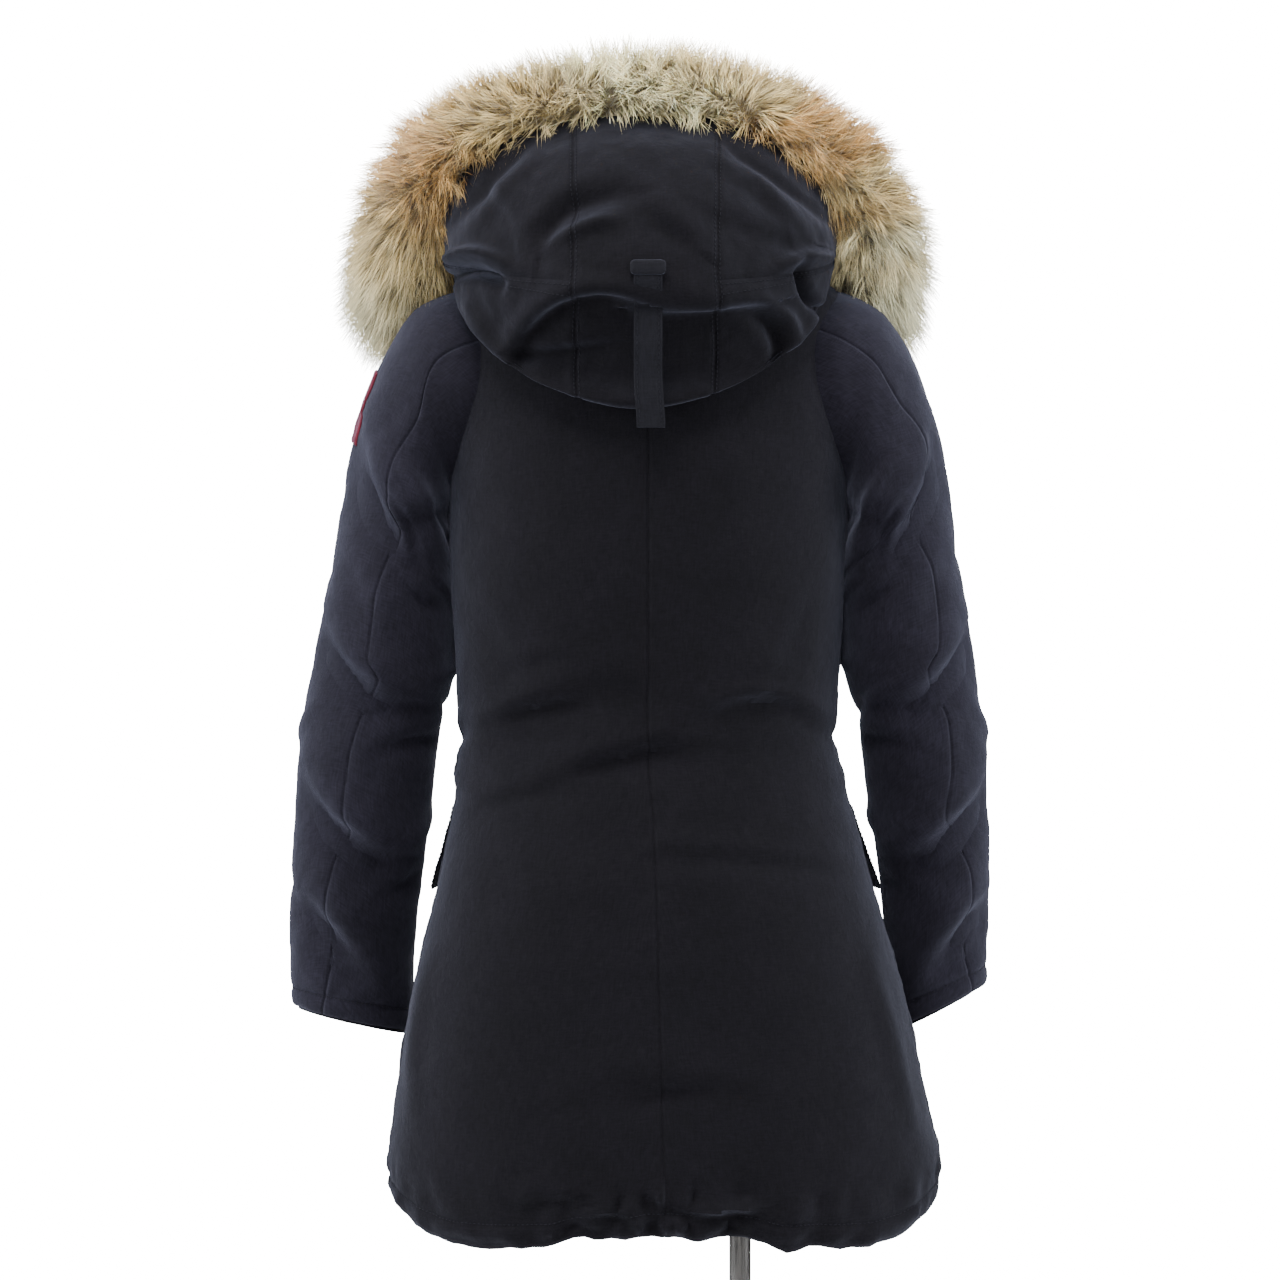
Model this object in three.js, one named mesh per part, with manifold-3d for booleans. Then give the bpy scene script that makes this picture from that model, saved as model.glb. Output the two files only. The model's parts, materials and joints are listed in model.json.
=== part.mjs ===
// A hooded down parka with a fur ruff, worn by a limbless dress form on a pole stand.
// Millimetres. +Z is up, the coat's front faces -Y, and the wearer's left is +X.
// The origin is on the floor, under the middle of the whole object's box in plan.
import * as THREE from "three";
import { mergeVertices } from "three/addons/utils/BufferGeometryUtils.js";
import Module from "manifold-3d";

const wasm = await Module();
wasm.setup();

// Cloth walls and the gaps between pieces.
const BODY_WALL = 8;
const SLEEVE_WALL = 6;
const HOOD_WALL = 3;
const COLLAR_WALL = 5;
const FLAP_WALL = 3;
const TAPE_WALL = 2;
const GAP = 0.3;

// Steps for slopes of surfaces: in degrees, in millimetres, and in shares of a length.
const TURN_STEP = 0.5;
const LEVEL_STEP = 1;
const SHARE_STEP = 0.004;

// Heights on the coat.
const HEM_LEVEL = 598;
const NECK_LEVEL = 1494;
const COLLAR_HEIGHT = 58;
const COLLAR_LEAN = 0.05;
const COLLAR_SEGMENTS = 26;

// Seams on the body, as degrees round from the front edge.
const SIDE_SEAM = 95;
const BACK_SEAM = 180;
const PLAN_POWER = 2.2;

// The zip up the middle of the front: half width between the fronts, where it starts, how far its
// tape lies behind their faces, and its slider and pull, which stand near the top of the collar.
const ZIP = { half: 4, bottom: 634, back: 2, thick: 3 };
const SLIDER = { wide: 9, high: 11, deep: 3, level: 1528 };
const PULL = { wide: 7, high: 34, deep: 1.6 };

// The body's rings from hem to neck: half width, depth to the front and to the back of the middle,
// sideways lean of the middle, and how far the ring's back stands above its front, halved.
const BODY_RINGS = [
  { z: 598, side: 249, front: 146, back: 146, lean: -22, tilt: 0 },
  { z: 618, side: 252, front: 149, back: 150, lean: -22, tilt: 0 },
  { z: 650, side: 253, front: 150, back: 151, lean: -22, tilt: 0 },
  { z: 713, side: 245, front: 148, back: 150, lean: -19, tilt: 0 },
  { z: 769, side: 234, front: 146, back: 148, lean: -18, tilt: 0 },
  { z: 842, side: 219, front: 141, back: 143, lean: -16, tilt: 0 },
  { z: 916, side: 199, front: 135, back: 134, lean: -14, tilt: 0 },
  { z: 971, side: 185, front: 130, back: 122, lean: -12, tilt: 0 },
  { z: 1008, side: 177, front: 126, back: 115, lean: -9, tilt: 0 },
  { z: 1045, side: 174, front: 124, back: 111, lean: -7, tilt: 0 },
  { z: 1081, side: 175, front: 126, back: 113, lean: -7, tilt: 0 },
  { z: 1137, side: 178, front: 133, back: 122, lean: -7, tilt: 0 },
  { z: 1210, side: 183, front: 140, back: 130, lean: -7, tilt: 0 },
  { z: 1284, side: 185, front: 137, back: 131, lean: -7, tilt: 0 },
  { z: 1340, side: 186, front: 124, back: 126, lean: -7, tilt: 1 },
  { z: 1380, side: 186, front: 111, back: 119, lean: -7, tilt: 2 },
  { z: 1415, side: 185, front: 100, back: 111, lean: -7, tilt: 4 },
  { z: 1440, side: 183, front: 92, back: 104, lean: -7, tilt: 6 },
  { z: 1456, side: 174, front: 86, back: 98, lean: -6, tilt: 8 },
  { z: 1466, side: 156, front: 81, back: 91, lean: -5, tilt: 9 },
  { z: 1476, side: 130, front: 75, back: 83, lean: -4, tilt: 10 },
  { z: 1486, side: 102, front: 68, back: 74, lean: -3, tilt: 11 },
  { z: 1494, side: 77, front: 61, back: 66, lean: -2, tilt: 12 },
];
const BODY_SEGMENTS = 9;

// Heights of the body's grid: the skirt, the pockets' edges, the waist and chest, the shoulders.
const BODY_LEVELS = [
  598, 618, 650, 697, 744, 790, 848, 905, 945, 984, 1030, 1081, 1137, 1210, 1284, 1340, 1380, 1415,
  1440, 1456, 1466, 1476, 1486, 1494,
];

// How far the hem rises above its lowest level, by degrees from the middle of the front. The rise
// fades out above.
const HEM_RISE = [
  { turn: 0, rise: 10 },
  { turn: 42, rise: 2 },
  { turn: 90, rise: 30 },
  { turn: 138, rise: 0 },
  { turn: 157, rise: 3 },
  { turn: 166, rise: 12 },
  { turn: 180, rise: 16 },
];
const HEM_FADE = 110;

// How far the dress form lies inside the coat's outer face. It carries the coat at the shoulders.
const FORM_INSET = [
  { z: 760, inset: 56 },
  { z: 860, inset: 42 },
  { z: 960, inset: 44 },
  { z: 1045, inset: 48 },
  { z: 1137, inset: 36 },
  { z: 1240, inset: 26 },
  { z: 1340, inset: 20 },
  { z: 1410, inset: 12 },
  { z: 1445, inset: BODY_WALL + 0.5 },
  { z: 1486, inset: BODY_WALL + 0.5 },
  { z: 1494, inset: BODY_WALL + 0.5 },
];
const FORM_BOTTOM = 790;
const FORM_NECK = [
  { z: 1500, radius: 54 },
  { z: 1526, radius: 52 },
  { z: 1530, radius: 47 },
];

// The pole stand.
const POLE_RADIUS = 10;
const POLE_X = -92;
const BASE_RADIUS = 189;
const BASE_THICKNESS = 8;
const BOSS_RADIUS = 22;
const BOSS_HEIGHT = 34;
const SOCKET_RADIUS = 24;
const SOCKET_HEIGHT = 30;
const ROUND_SEGMENTS = 40;

// A sleeve's ribs from inside the armhole to the cuff: the outer and inner ends of each rib in the
// plane of the shoulders, its middle depth, and half its depth. The other sleeve is its mirror.
const SLEEVE_RIBS = [
  { at: 0, outX: 148, outZ: 1461, inX: 148, inZ: 1292, midY: 4, halfY: 62 },
  { at: 0.05, outX: 182, outZ: 1455, inX: 170, inZ: 1280, midY: 4, halfY: 66 },
  { at: 0.1, outX: 213, outZ: 1440, inX: 183, inZ: 1268, midY: 4, halfY: 68 },
  { at: 0.15, outX: 236, outZ: 1410, inX: 187, inZ: 1254, midY: 4, halfY: 68 },
  { at: 0.22, outX: 256, outZ: 1366, inX: 188, inZ: 1232, midY: 3, halfY: 67 },
  { at: 0.3, outX: 273, outZ: 1308, inX: 188, inZ: 1200, midY: 1, halfY: 65 },
  { at: 0.38, outX: 281, outZ: 1250, inX: 187, inZ: 1164, midY: -1, halfY: 63 },
  { at: 0.47, outX: 293, outZ: 1182, inX: 185, inZ: 1118, midY: -4, halfY: 61 },
  { at: 0.57, outX: 305, outZ: 1103, inX: 186, inZ: 1062, midY: -9, halfY: 59 },
  { at: 0.67, outX: 315, outZ: 1026, inX: 194, inZ: 1002, midY: -17, halfY: 56 },
  { at: 0.78, outX: 319, outZ: 946, inX: 206, inZ: 926, midY: -29, halfY: 52 },
  { at: 0.89, outX: 321, outZ: 875, inX: 213, inZ: 849, midY: -44, halfY: 48 },
  { at: 1, outX: 321, outZ: 811, inX: 217, inZ: 772, midY: -60, halfY: 44 },
];
const SLEEVE_LEVELS = 21;
const ARMHOLE_REACH = 0.3;
const SLEEVE_OUTER_SEGMENTS = 10;
const SLEEVE_INNER_SEGMENTS = 8;

// Seams along a sleeve, in degrees round from its outer edge towards the back.
const SLEEVE_BACK_SEAM = { top: 88, cuff: 61 };
const SLEEVE_FRONT_SEAM = 240;

// Both sleeves sit a little to the wearer's right, as the body does. How each hangs at its cuff, away
// from the common shape: its outer and inner edges outwards, the whole forwards, and the end down.
const SLEEVE_SHIFT = -7;
const HANG = {
  left: { outer: 13, inner: 3, fore: 0, drop: 15 },
  right: { outer: -1, inner: 9, fore: 16, drop: -4 },
};

// The cuff's facing, which shows below the sleeve's edge.
const CUFF_FACING = { up: 20 / 21, below: 4 };

// Largest folds, as bends through three points of a plane that faces the back. A lip stands out on
// the upper side of its line, and a furrow sinks below it. The mirror serves the other sleeve.
const SLEEVE_FOLDS = [
  { x0: 258, z0: 1322, x1: 240, z1: 1258, x2: 199, z2: 1199, lip: 6, furrow: 5, reach: 26 },
  { x0: 292, z0: 1152, x1: 262, z1: 1106, x2: 226, z2: 1086, lip: 6, furrow: 5, reach: 24 },
  { x0: 313, z0: 1014, x1: 270, z1: 962, x2: 220, z2: 940, lip: 6, furrow: 5, reach: 24 },
  { x0: 320, z0: 905, x1: 288, z1: 876, x2: 253, z2: 814, lip: 4, furrow: 4, reach: 22 },
];
const BACK_FOLDS = [
  { x0: 150, z0: 1040, x1: 70, z1: 1092, x2: -10, z2: 1094, lip: 3, furrow: 3, reach: 24 },
  { x0: -160, z0: 1066, x1: -95, z1: 1084, x2: -30, z2: 1062, lip: 3, furrow: 3, reach: 24 },
  { x0: 70, z0: 1020, x1: 0, z1: 1040, x2: -110, z2: 1046, lip: 3, furrow: 2, reach: 24 },
  { x0: 60, z0: 738, x1: 0, z1: 752, x2: -80, z2: 744, lip: 2, furrow: 3, reach: 22 },
];

// The hood's rows from the neck seam, down to the bottom of its pouch, and up to the ruff. Each row
// is a horseshoe: half width, its middle in depth, reach to the back and to the front, how far it
// runs round, its height at the back, at the sides and at its front ends, and how soon it climbs.
const HOOD_ROWS = [
  { at: 0, wide: 82, mid: 0, back: 71, fore: 66, end: 168, zBack: 1509, zSide: 1499, zEnd: 1487, climb: 1 },
  { at: 0.12, wide: 108, mid: 8, back: 92, fore: 84, end: 167, zBack: 1478, zSide: 1493, zEnd: 1478, climb: 0.8 },
  { at: 0.28, wide: 146, mid: 20, back: 112, fore: 112, end: 166, zBack: 1396, zSide: 1484, zEnd: 1464, climb: 0.9 },
  { at: 0.36, wide: 164, mid: 28, back: 119, fore: 130, end: 166, zBack: 1339, zSide: 1478, zEnd: 1455, climb: 0.9 },
  { at: 0.42, wide: 171, mid: 30, back: 126, fore: 136, end: 166, zBack: 1345, zSide: 1479, zEnd: 1450, climb: 1 },
  { at: 0.54, wide: 175, mid: 32, back: 136, fore: 142, end: 166, zBack: 1392, zSide: 1482, zEnd: 1444, climb: 1 },
  { at: 0.66, wide: 176, mid: 32, back: 152, fore: 145, end: 167, zBack: 1446, zSide: 1485, zEnd: 1439, climb: 1 },
  { at: 0.78, wide: 177, mid: 30, back: 142, fore: 147, end: 168, zBack: 1505, zSide: 1488, zEnd: 1434, climb: 1.2 },
  { at: 0.9, wide: 179, mid: 26, back: 108, fore: 146, end: 168, zBack: 1566, zSide: 1492, zEnd: 1429, climb: 1.2 },
  { at: 1, wide: 184, mid: 20, back: 64, fore: 144, end: 169, zBack: 1606, zSide: 1496, zEnd: 1424, climb: 1.3 },
];
const HOOD_LEVELS = 17;
const HOOD_CENTRE_SEGMENTS = 6;
const HOOD_SIDE_SEGMENTS = 10;
const HOOD_CENTRE_SEAM = { left: -0.113, right: 0.134 };
const HOOD_YOKE_SEAM = 0.66;
const HOOD_RECESS = { x: -4, z: 1386, wide: 118, high: 44, deep: 13, from: 0.42 };
const HOOD_CLEAR = 7;
const HOOD_SOFTNESS = 14;
const SHOULDER_FROM = 1300;

// The strap that hangs down the hood's back, and the bar that holds its top.
const STRAP = { x: -7, wide: 25, clear: 0.8, top: 0.7, bend: 0.62, end: 1322 };
const STRAP_BAR = { wide: 31 };

// The ruff's line from the front end round the top of the hood: left and right reach, depth,
// height, and half sizes across the fur away from the hood and through it.
const RUFF_LINE = [
  { at: 0, left: 22, right: -26, y: -140, z: 1408, across: 22, through: 20 },
  { at: 0.125, left: 94, right: -94, y: -138, z: 1413, across: 36, through: 31 },
  { at: 0.25, left: 162, right: -158, y: -110, z: 1428, across: 44, through: 38 },
  { at: 0.375, left: 220, right: -213, y: -64, z: 1446, across: 49, through: 44 },
  { at: 0.5, left: 223, right: -222, y: -10, z: 1496, across: 48, through: 44 },
  { at: 0.625, left: 192, right: -192, y: 24, z: 1558, across: 46, through: 42 },
  { at: 0.75, left: 141, right: -136, y: 50, z: 1601, across: 43, through: 40 },
  { at: 0.875, left: 74, right: -78, y: 68, z: 1628, across: 36, through: 37 },
  { at: 1, left: -4, right: -4, y: 74, z: 1638, across: 35, through: 36 },
];
const RUFF_MIDDLE = new THREE.Vector3(0, -20, 1492);
const RUFF_STEPS = 34;
const RUFF_SIDES = 12;
const RUFF_CLEAR = 0.5;
const RUFF_MEETS = 0.5;

// The lower pockets and their flaps, on the fronts, and the badge on the left sleeve.
const POCKET = { from: 2 / 9, to: 6 / 9, bottom: 790, top: 945, out: 6 };
const POCKET_FLAP = { from: 1.9 / 9, to: 8 / 9, bottom: 905, top: 984, lift: 5, clear: 0.6 };
const BADGE = { from: 0.6, to: 0.8, top: 4 / 21, bottom: 6 / 21 };

const COLOURS = {
  cloth: "#1d202b",
  fur: "#b39a72",
  tape: "#1b1d27",
  zip: "#15161c",
  badge: "#5d1622",
  form: "#e6e1d6",
  steel: "#b9b9bd",
};

// Clamped share of the way from one value to another, eased at both ends.
function ease(value, from, to) {
  return THREE.MathUtils.smoothstep(value, from, to);
}

const radians = THREE.MathUtils.degToRad;
const mix = THREE.MathUtils.lerp;

// Slopes at a table's rows that make a smooth line through them with no overshoot.
function slopes(table, key, column) {
  const rise = (row, i) => (row[column] - table[i][column]) / (row[key] - table[i][key]);
  const secants = table.slice(1).map(rise);
  return table.map((row, i) => {
    if (i === 0) return secants[0];
    if (i === table.length - 1) return secants[i - 1];
    const [before, after] = [secants[i - 1], secants[i]];
    return before * after <= 0 ? 0 : (2 * before * after) / (before + after);
  });
}

// A function that reads every column of a table at any value of its key, smoothly.
function reader(table, key) {
  const columns = Object.keys(table[0]).filter((name) => name !== key);
  const slope = Object.fromEntries(columns.map((name) => [name, slopes(table, key, name)]));
  return (value) => {
    const found = table.findIndex((row) => row[key] >= value);
    const high = found < 0 ? table.length - 1 : Math.max(found, 1);
    const [a, b] = [table[high - 1], table[high]];
    const step = b[key] - a[key];
    const t = THREE.MathUtils.clamp((value - a[key]) / step, 0, 1);
    const read = {};
    for (const name of columns) {
      const [from, to] = [slope[name][high - 1] * step, slope[name][high] * step];
      read[name] =
        (2 * t ** 3 - 3 * t ** 2 + 1) * a[name] +
        (t ** 3 - 2 * t ** 2 + t) * from +
        (3 * t ** 2 - 2 * t ** 3) * b[name] +
        (t ** 3 - t ** 2) * to;
    }
    return read;
  };
}

const bodyRing = reader(BODY_RINGS, "z");
const hemRise = reader(HEM_RISE, "turn");
const formInset = reader(FORM_INSET, "z");
const sleeveRib = reader(SLEEVE_RIBS, "at");
const hoodRow = reader(HOOD_ROWS, "at");
const ruffLine = reader(RUFF_LINE, "at");

// Sine or cosine, raised so that a ring is a little squarer than an ellipse.
function squared(value) {
  return Math.sign(value) * Math.abs(value) ** (2 / PLAN_POWER);
}

// How far the hem lies above its lowest level, round the body.
function hemLift(angle) {
  const turn = ((angle % 360) + 360) % 360;
  return hemRise(Math.min(turn, 360 - turn)).rise;
}

// A point of the body's smooth form. The angle runs from the front, by the wearer's left side.
function bodyForm(angle, level) {
  const ring = bodyRing(level);
  const a = radians(angle);
  const depth = Math.cos(a) > 0 ? ring.front : ring.back;
  const fade = 1 - ease(level, HEM_LEVEL, HEM_LEVEL + HEM_FADE);
  return new THREE.Vector3(
    ring.lean + ring.side * squared(Math.sin(a)),
    -depth * squared(Math.cos(a)),
    level - ring.tilt * Math.cos(a) + hemLift(angle) * fade,
  );
}

// The angle where the body's ring passes a distance across from its middle, on the front.
function frontAngle(across, level) {
  const share = Math.abs(across) / bodyRing(level).side;
  return Math.sign(across) * THREE.MathUtils.radToDeg(Math.asin(share ** (PLAN_POWER / 2)));
}

// The angle of a front's edge at the zip, and the angle of a sleeve's back seam.
const zipEdge = (level) => frontAngle(ZIP.half + GAP / 2, level);
const sleeveBackSeam = (share) => mix(SLEEVE_BACK_SEAM.top, SLEEVE_BACK_SEAM.cuff, share);

// Outward normal of a surface at u and v, by differences. A surface turns so that this points out.
function normalAt(surface, u, v, du, dv) {
  const alongU = surface(u + du, v).sub(surface(u - du, v));
  const alongV = surface(u, v + dv).sub(surface(u, v - dv));
  return alongU.cross(alongV).normalize();
}

// How far folds move a point, where its surface faces the back.
function foldHeight(folds, x, z) {
  let height = 0;
  for (const fold of folds) {
    const bend = new THREE.QuadraticBezierCurve(
      new THREE.Vector2(fold.x0, fold.z0),
      new THREE.Vector2(2 * fold.x1 - (fold.x0 + fold.x2) / 2, 2 * fold.z1 - (fold.z0 + fold.z2) / 2),
      new THREE.Vector2(fold.x2, fold.z2),
    );
    let nearest = Infinity;
    let side = 0;
    let along = 0;
    for (let i = 0; i <= 12; i++) {
      const on = bend.getPoint(i / 12);
      const distance = Math.hypot(x - on.x, z - on.y);
      if (distance < nearest) {
        nearest = distance;
        side = z - on.y;
        along = i / 12;
      }
    }
    const taper = Math.sin(Math.PI * mix(0.15, 0.85, along));
    const away = nearest / fold.reach;
    const lift = side > 0 ? fold.lip : -fold.furrow;
    height += taper * lift * away * Math.exp(1 - away) * Math.exp(-away * away * 0.3);
  }
  return height;
}

// The body's face with the folds of the back, moved out from the cloth's outside.
function bodyFace(out = 0) {
  return (angle, level) => {
    const point = bodyForm(angle, level);
    const facing = Math.max(0, -Math.cos(radians(angle)));
    const fold = facing > 0 ? facing * foldHeight(BACK_FOLDS, point.x, point.z) : 0;
    return point.addScaledVector(normalAt(bodyForm, angle, level, TURN_STEP, LEVEL_STEP), fold + out);
  };
}

// A sleeve's smooth form: side is 1 for the left and -1 for the right.
function sleeveForm(side) {
  const hang = side > 0 ? HANG.left : HANG.right;
  return (angle, at) => {
    const rib = sleeveRib(at);
    const swing = ease(at, 0.2, 1);
    const inward = hang.inner * ease(at, 0.3, 0.62);
    const drop = hang.drop * ease(at, 0.6, 1);
    const outer = new THREE.Vector3(rib.outX + hang.outer * swing, 0, rib.outZ - drop);
    const inner = new THREE.Vector3(rib.inX + inward, 0, rib.inZ);
    const half = outer.clone().sub(inner).multiplyScalar(0.5);
    const a = radians(angle);
    const point = outer.add(inner).multiplyScalar(0.5).addScaledVector(half, Math.cos(a));
    point.y = rib.midY - hang.fore * swing + rib.halfY * Math.sin(a);
    point.x = side * point.x + SLEEVE_SHIFT;
    return point;
  };
}

// A sleeve's face, moved out from the cloth's outside, with its large folds on the back and
// plainer ones on the front. Normals turn the other way round on each side.
function sleeveFace(side, out = 0) {
  const form = sleeveForm(side);
  return (angle, at) => {
    const point = form(angle, at);
    const normal = normalAt(form, angle, at, -side, SHARE_STEP);
    const facing = Math.sin(radians(angle));
    const share = facing > 0 ? ease(facing, 0, 0.5) : 0.6 * ease(-facing, 0, 0.5);
    const height = share * foldHeight(SLEEVE_FOLDS, side * (point.x - SLEEVE_SHIFT), point.z);
    return point.addScaledVector(normal, height * ease(at, 0.16, 0.26) + out);
  };
}

// The larger of two values, rounded over where they are within a reach of each other.
function softMax(a, b, reach) {
  const share = THREE.MathUtils.clamp(0.5 + (a - b) / (2 * reach), 0, 1);
  return Number.isFinite(b) ? mix(b, a, share) + reach * share * (1 - share) : a;
}

// The height of the body's shoulders at a place in plan, or nothing where the body isn't below it.
function shoulderHeight(x, y) {
  const outside = (level) => {
    const ring = bodyRing(level);
    const depth = y < 0 ? ring.front : ring.back;
    return Math.abs((x - ring.lean) / ring.side) ** PLAN_POWER + Math.abs(y / depth) ** PLAN_POWER > 1;
  };
  let [low, high] = [SHOULDER_FROM, NECK_LEVEL];
  if (outside(low)) return -Infinity;
  for (let i = 0; i < 16; i++) {
    const middle = (low + high) / 2;
    if (outside(middle)) high = middle;
    else low = middle;
  }
  const ring = bodyRing(low);
  return low + (ring.tilt * y) / (y < 0 ? ring.front : ring.back);
}

// A point of the hood: round runs from the left front end, -1, by the back, 0, to the right, 1.
function hoodForm(round, at) {
  const row = hoodRow(at);
  const turn = Math.abs(round) * row.end;
  const a = radians(turn);
  const depth = turn < 90 ? row.back : row.fore;
  const climb = turn < 90 ? (1 - Math.cos(a)) ** row.climb : 1;
  const past = THREE.MathUtils.clamp((turn - 90) / (row.end - 90), 0, 1);
  const onward = mix(ease(past, 0, 1), Math.sin(radians(90 * past)), at);
  const x = -Math.sign(round) * row.wide * Math.sin(a);
  const z = mix(mix(row.zBack, row.zSide, climb), row.zEnd, onward);
  const point = new THREE.Vector3(x, row.mid + depth * Math.cos(a), z);
  const { x: dx, z: dz, wide, high, deep } = HOOD_RECESS;
  const inside = ((point.x - dx) / wide) ** 2 + ((point.z - dz) / high) ** 2;
  if (at > HOOD_RECESS.from && turn < 90) point.y -= deep * Math.exp(-(inside ** 2));
  point.z = softMax(point.z, shoulderHeight(point.x, point.y) + HOOD_CLEAR, HOOD_SOFTNESS);
  return point;
}

// The hood's face, moved out from the cloth's outside.
function hoodFace(out = 0) {
  return (round, at) => {
    const normal = normalAt(hoodForm, round, at, SHARE_STEP, SHARE_STEP);
    return hoodForm(round, at).addScaledVector(normal, out);
  };
}

// A closed body from rings of points, the first and last closed by a fan about their middles.
function solidFromRings(rings) {
  const sides = rings[0].length;
  const points = rings.flat();
  const middle = (ring) => ring.reduce((sum, p) => sum.add(p), new THREE.Vector3()).divideScalar(sides);
  points.push(middle(rings[0]), middle(rings.at(-1)));
  const faces = [];
  for (let j = 0; j + 1 < rings.length; j++) {
    for (let i = 0; i < sides; i++) {
      const [a, b] = [j * sides + i, j * sides + ((i + 1) % sides)];
      faces.push(a, b, b + sides, a, b + sides, a + sides);
    }
  }
  for (let i = 0; i < sides; i++) {
    const next = (i + 1) % sides;
    const last = (rings.length - 1) * sides;
    faces.push(points.length - 2, next, i, points.length - 1, last + i, last + next);
  }
  return geometryOf(points, faces);
}

// A geometry from points and corner numbers, turned so that its faces point out.
function geometryOf(points, faces) {
  let volume = 0;
  for (let i = 0; i < faces.length; i += 3) {
    const [a, b, c] = [points[faces[i]], points[faces[i + 1]], points[faces[i + 2]]];
    volume += a.dot(b.clone().cross(c));
  }
  if (volume < 0) faces.reverse();
  const geometry = new THREE.BufferGeometry().setFromPoints(points);
  geometry.setIndex(faces);
  return geometry;
}

// A cloth wall between two faces that share their grid: columns run over u and rows over v.
function wall(outer, inner, us, vs) {
  const points = [];
  for (const face of [outer, inner]) {
    for (const v of vs) for (const u of us) points.push(face(u, v));
  }
  const [nu, nv] = [us.length, vs.length];
  const at = (layer, i, j) => layer * nu * nv + j * nu + i;
  const faces = [];
  const quad = (a, b, c, d) => faces.push(a, b, c, a, c, d);
  for (let j = 0; j + 1 < nv; j++) {
    for (let i = 0; i + 1 < nu; i++) {
      quad(at(0, i, j), at(0, i + 1, j), at(0, i + 1, j + 1), at(0, i, j + 1));
      quad(at(1, i, j), at(1, i, j + 1), at(1, i + 1, j + 1), at(1, i + 1, j));
    }
  }
  for (let i = 0; i + 1 < nu; i++) {
    quad(at(0, i, 0), at(1, i, 0), at(1, i + 1, 0), at(0, i + 1, 0));
    quad(at(1, i + 1, nv - 1), at(1, i, nv - 1), at(0, i, nv - 1), at(0, i + 1, nv - 1));
  }
  for (let j = 0; j + 1 < nv; j++) {
    quad(at(1, 0, j + 1), at(1, 0, j), at(0, 0, j), at(0, 0, j + 1));
    quad(at(0, nu - 1, j), at(1, nu - 1, j), at(1, nu - 1, j + 1), at(0, nu - 1, j + 1));
  }
  return geometryOf(points, faces);
}

// Evenly spaced values, both ends included.
function spread(from, to, steps) {
  return Array.from({ length: steps + 1 }, (_, i) => mix(from, to, i / steps));
}

// The share of a seam's gap that one panel gives up, in the units of u.
function seamAllowance(surface, u, v) {
  const speed = surface(u + SHARE_STEP, v).distanceTo(surface(u, v)) / SHARE_STEP;
  return GAP / 2 / speed;
}

// A value that may be a number or a function of the other coordinate.
const valueAt = (value, other) => (typeof value === "function" ? value(other) : value);

// A panel of cloth from its outside to its inside, between two seams that are values of u or
// functions of v, and parted from its neighbours by the gap. Rows are values of v or functions of u.
function panel(outside, inside, from, to, segments, rows) {
  const place = (share, row) => {
    const v = valueAt(row, mix(valueAt(from, valueAt(row, 0)), valueAt(to, valueAt(row, 0)), share));
    const low = valueAt(from, v) + seamAllowance(outside, valueAt(from, v), v);
    const high = valueAt(to, v) - seamAllowance(outside, valueAt(to, v), v);
    return [mix(low, high, share), v];
  };
  const outer = (share, row) => outside(...place(share, row));
  const inner = (share, row) => inside(...place(share, row));
  return wall(outer, inner, spread(0, 1, segments), rows);
}

// The values of u all along a row of panels that meet at seams, as their own grids have them.
function gridAcross(seams, segments, v) {
  const stretches = segments.map((count, k) => {
    const [from, to] = [valueAt(seams[k], v), valueAt(seams[k + 1], v)];
    return spread(from, to, count).slice(0, -1);
  });
  return [...stretches.flat(), valueAt(seams.at(-1), v)];
}

// A geometry as a solid that can be joined and cut, and back again.
function toSolid(geometry) {
  const bare = geometry.clone();
  bare.deleteAttribute("normal");
  bare.deleteAttribute("uv");
  const merged = mergeVertices(bare, 1e-3);
  const vertProperties = new Float32Array(merged.attributes.position.array);
  const triVerts = new Uint32Array(merged.index.array);
  return new wasm.Manifold(new wasm.Mesh({ numProp: 3, vertProperties, triVerts }));
}

function fromSolid(solid) {
  const mesh = solid.getMesh();
  const geometry = new THREE.BufferGeometry();
  geometry.setAttribute("position", new THREE.BufferAttribute(mesh.vertProperties, 3));
  geometry.setIndex(new THREE.BufferAttribute(mesh.triVerts, 1));
  return geometry;
}

// A geometry less each of some solids. Slivers that a cut leaves loose are dropped.
function cut(geometry, ...solids) {
  const left = solids.reduce((rest, solid) => rest.subtract(solid), toSolid(geometry));
  const bodies = left.decompose();
  return fromSolid(bodies.reduce((most, body) => (body.volume() > most.volume() ? body : most)));
}

// The angles of a whole ring of the body, where its four panels have their points.
function bodyAngles(level) {
  const seams = [zipEdge, SIDE_SEAM, BACK_SEAM, 360 - SIDE_SEAM, (z) => 360 - zipEdge(z)];
  return gridAcross(seams, Array(4).fill(BODY_SEGMENTS), level);
}

// The whole body as one solid, moved out a little, for cutting what meets it.
function bodySolid(out) {
  const face = bodyFace(out);
  return toSolid(solidFromRings(BODY_LEVELS.map((z) => bodyAngles(z).map((a) => face(a, z)))));
}

// The angles of a whole rib of a sleeve, where its two panels have their points.
function sleeveAngles(share) {
  const seams = [SLEEVE_FRONT_SEAM - 360, sleeveBackSeam, SLEEVE_FRONT_SEAM];
  return gridAcross(seams, [SLEEVE_OUTER_SEGMENTS, SLEEVE_INNER_SEGMENTS], share).slice(0, -1);
}

// The outside or the hollow of a sleeve as one solid, down to a share of its length.
function sleeveSolid(side, out, end) {
  const face = sleeveFace(side, out);
  const levels = spread(0, 1, SLEEVE_LEVELS).filter((share) => share < end);
  return toSolid(solidFromRings(levels.map((share) => sleeveAngles(share).map((a) => face(a, share)))));
}

const part = new THREE.Group();

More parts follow.
